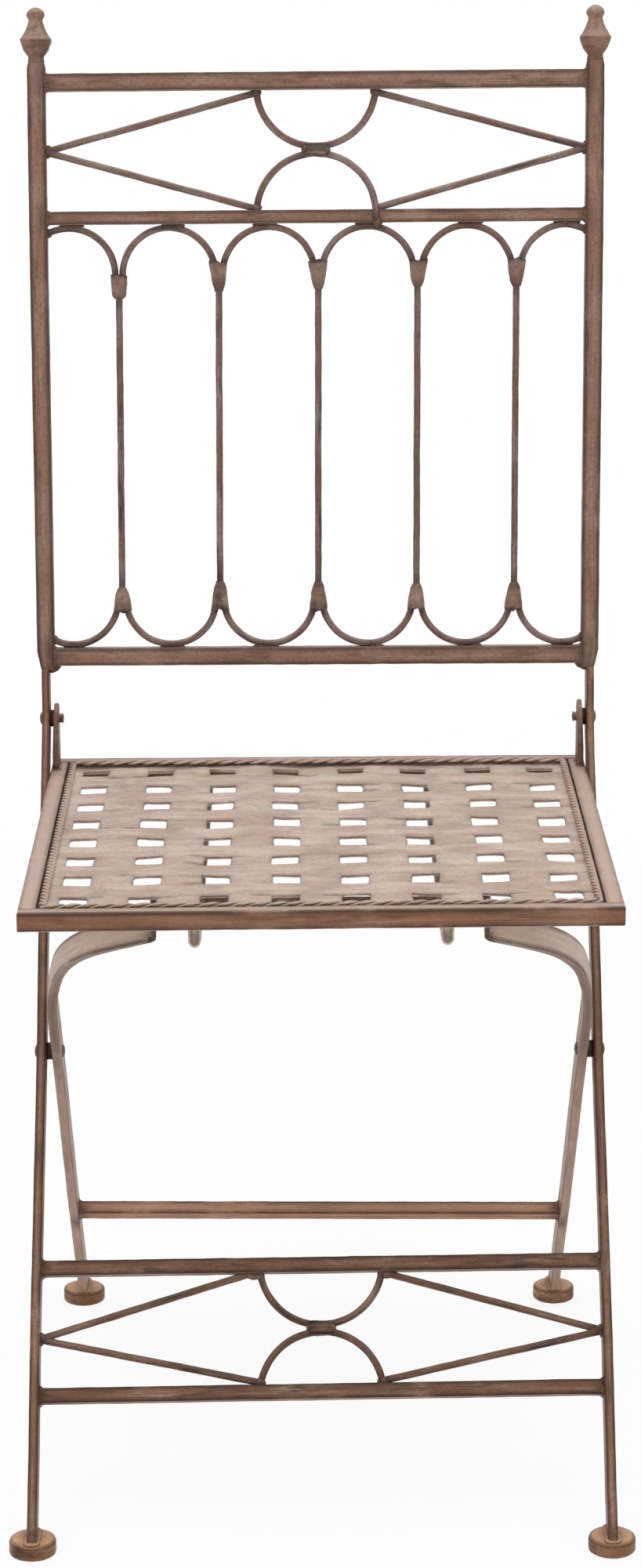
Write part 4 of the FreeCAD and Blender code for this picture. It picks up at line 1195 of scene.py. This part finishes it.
def addRivets():
    # a domed head at each end; the hinge's inner heads stand off, and its spacers reach the slimmer legs
    head, rise, shank, r, bore = (rivetLook[key] for key in ("head", "rise", "shank", "spacer", "bore"))
    angle = np.linspace(0.06, math.pi / 2, 8)[:, None]
    dome = np.concatenate([-np.cos(angle), np.sin(angle)], 1)
    hingeHead = (rivetLook["inRise"], rivetLook["inHead"])
    kinds = (("hinge", hingeHead, rivetLook["stand"], legLook["slimOut"], legLook["slimIn"]),
             ("pivot", (rise, head), 0.0, 0.0, 0.0))
    for k, (kind, inHead, stand, slimOut, slimIn) in enumerate(kinds):
        for side, hand in hands:
            name = kind + "Rivet" + hand
            low, high = boxOf(name)
            reach = (high[0] - low[0]) / 2 - rivetLook["inset"]
            rim = reach - slimOut - 0.1
            neck = [[-reach - stand + 0.1, shank - 0.4], [-reach, shank], [rim, shank], [rim, head]]
            profile = np.concatenate([dome * inHead - [reach + stand, 0], neck,
                                      dome[::-1] * [-rise, head] + [reach, 0]])
            made = turned(profile, middleOf(name), side * xDir, yDir, 370 + 3 * k + side, rough=0.05)
            addPiece(name, [made], "rod")
            name = kind + "Spacer" + hand
            low, high = boxOf(name)
            centre = middleOf(name) + side * slimIn / 2 * xDir
            half = (high[0] - low[0] + slimIn) / 2
            profile = [(-half, bore), (-half, r - 0.4), (-half + 0.3, r), (half - 0.3, r), (half, r - 0.4),
                       (half, bore)]
            made = turned(profile, centre, xDir, yDir, 380 + 3 * k + side, rough=0.04)
            addPiece(name, [made], "spacer")


def addWelds():
    for name, (body, shells) in zip(("backWelds", "rearWelds", "seatWelds"), beads.items()):
        addPiece(name, shells, "weld", body, solid=False)


def addJointMask():                          # near a weld the mask is 1, falling off as a bell over dirtReach
    spots = np.array(weldSpots)
    for piece, verts in lookPieces:
        near = np.full(len(verts), np.inf)
        for part in np.array_split(spots, 8):
            near = np.minimum(near, ((verts[:, None] - part) ** 2).sum(-1).min(1))
        mask = np.exp(-near / dirtReach ** 2)
        piece.data.attributes.new("jointMask", "FLOAT", "POINT").data.foreach_set("value", mask)


addRivets()
addWelds()
addJointMask()
print("rivets and welds made,", len(lookPieces), "pieces,", sum(len(v) for p, v in lookPieces), "points")


# Floor and light in metres, and the camera in millimetres

stageLook = {"floorRadius": 40.0, "floorHeight": -0.0004, "spokes": 64, "clear": 0.9, "fade": 1.6,
             "floorColour": 0.92, "plain": 0.86, "world": 0.76, "aim": (0, 0, 0.5),
             "lamps": (("softboxTop", (-0.1, -1.2, 3.2), 2.6, 46.0),
                       ("softboxFront", (0.3, -2.8, 0.4), 2.2, 14.0))}    # name, place, size and power


def whiteToView(tree):
    # 1 for rays that show the background: from the camera, or through a reflection or glass
    rays = tree.nodes.new("ShaderNodeLightPath").outputs
    seen = calc(tree, "MAXIMUM", rays["Is Camera Ray"], rays["Is Glossy Ray"])
    return calc(tree, "MAXIMUM", seen, rays["Is Transmission Ray"])


def addStage():
    # the floor is a disc of rings; near the chair it is lit and takes shadow, far out it turns plain white
    look, count = stageLook, stageLook["spokes"]
    radius = np.r_[np.linspace(0.05, 3.0, 30), np.geomspace(3.4, look["floorRadius"], 20)]
    angle = np.arange(count) * 2 * math.pi / count
    x, y = radius[:, None] * np.cos(angle), radius[:, None] * np.sin(angle)
    rings = np.stack([x, y, np.full_like(x, look["floorHeight"])], -1)
    made = shell(rings, radius, np.arange(count + 1.0), np.zeros(count))
    mesh = bpy.data.meshes.new("floor")
    faces = made["quads"][:, ::-1].tolist() + [list(range(count))]
    mesh.from_pydata(made["verts"][:-2].tolist(), [], faces)
    floor = addObject("floor", mesh)
    material = bpy.data.materials.new("paleFloor")
    tree = clearTree(material)
    place = tree.nodes.new("ShaderNodeTexCoord").outputs["Object"]
    away = wire(tree, "ShaderNodeVectorMath", {0: place}, operation="LENGTH").outputs["Value"]
    share = calc(tree, "MAXIMUM", ramp(tree, away, look["clear"], look["fade"]), look["plain"])
    share = calc(tree, "MULTIPLY", share, whiteToView(tree))
    lit = wire(tree, "ShaderNodeBsdfDiffuse", {"Color": (*[look["floorColour"]] * 3, 1.0)}).outputs[0]
    plain = wire(tree, "ShaderNodeEmission", {"Strength": 1.0}).outputs[0]
    both = wire(tree, "ShaderNodeMixShader", {0: share, 1: lit, 2: plain}).outputs[0]
    wire(tree, "ShaderNodeOutputMaterial", {"Surface": both})
    mesh.materials.append(material)


def addLight():
    world = bpy.data.worlds.new("studio")
    bpy.context.scene.world = world
    tree = clearTree(world)
    strength = wire(tree, "ShaderNodeMix", {0: whiteToView(tree), 2: stageLook["world"], 3: 1.0}).outputs[0]
    feeds = {"Color": (1.0, 1.0, 1.0, 1.0), "Strength": strength}
    back = wire(tree, "ShaderNodeBackground", feeds).outputs[0]
    wire(tree, "ShaderNodeOutputWorld", {"Surface": back})
    for name, place, size, power in stageLook["lamps"]:
        lamp = bpy.data.lights.new(name, "AREA")
        lamp.energy = power
        lamp.size = size
        aim = unit(np.array(stageLook["aim"]) - place)
        right = unit(np.cross(aim, zDir))
        turn = Matrix(np.column_stack([right, np.cross(right, aim), -aim]).tolist()).to_4x4()
        addObject(name, lamp).matrix_world = Matrix.Translation(place) @ turn


cameraLook = {"place": (-11.653, -2477.878, 1116.098), "yaw": -0.0051432, "pitch": 0.2579719,
              "roll": -0.0028298, "lens": 88.665, "sensor": 36.0, "clipEnd": 200.0}


def addCamera():
    data = bpy.data.cameras.new("photoView")
    data.sensor_fit = "AUTO"
    data.sensor_width = cameraLook["sensor"]
    data.lens = cameraLook["lens"]
    data.clip_end = cameraLook["clipEnd"]
    camera = addObject("photoView", data)
    turn = Matrix.Rotation(cameraLook["yaw"], 4, "Z")
    turn = turn @ Matrix.Rotation(math.pi / 2 - cameraLook["pitch"], 4, "X")
    turn = turn @ Matrix.Rotation(cameraLook["roll"], 4, "Z")
    camera.matrix_world = Matrix.Translation([c * mm for c in cameraLook["place"]]) @ turn
    bpy.context.scene.camera = camera


addStage()
addLight()
addCamera()
bpy.context.scene.view_settings.view_transform = "Standard"
print("stage set")
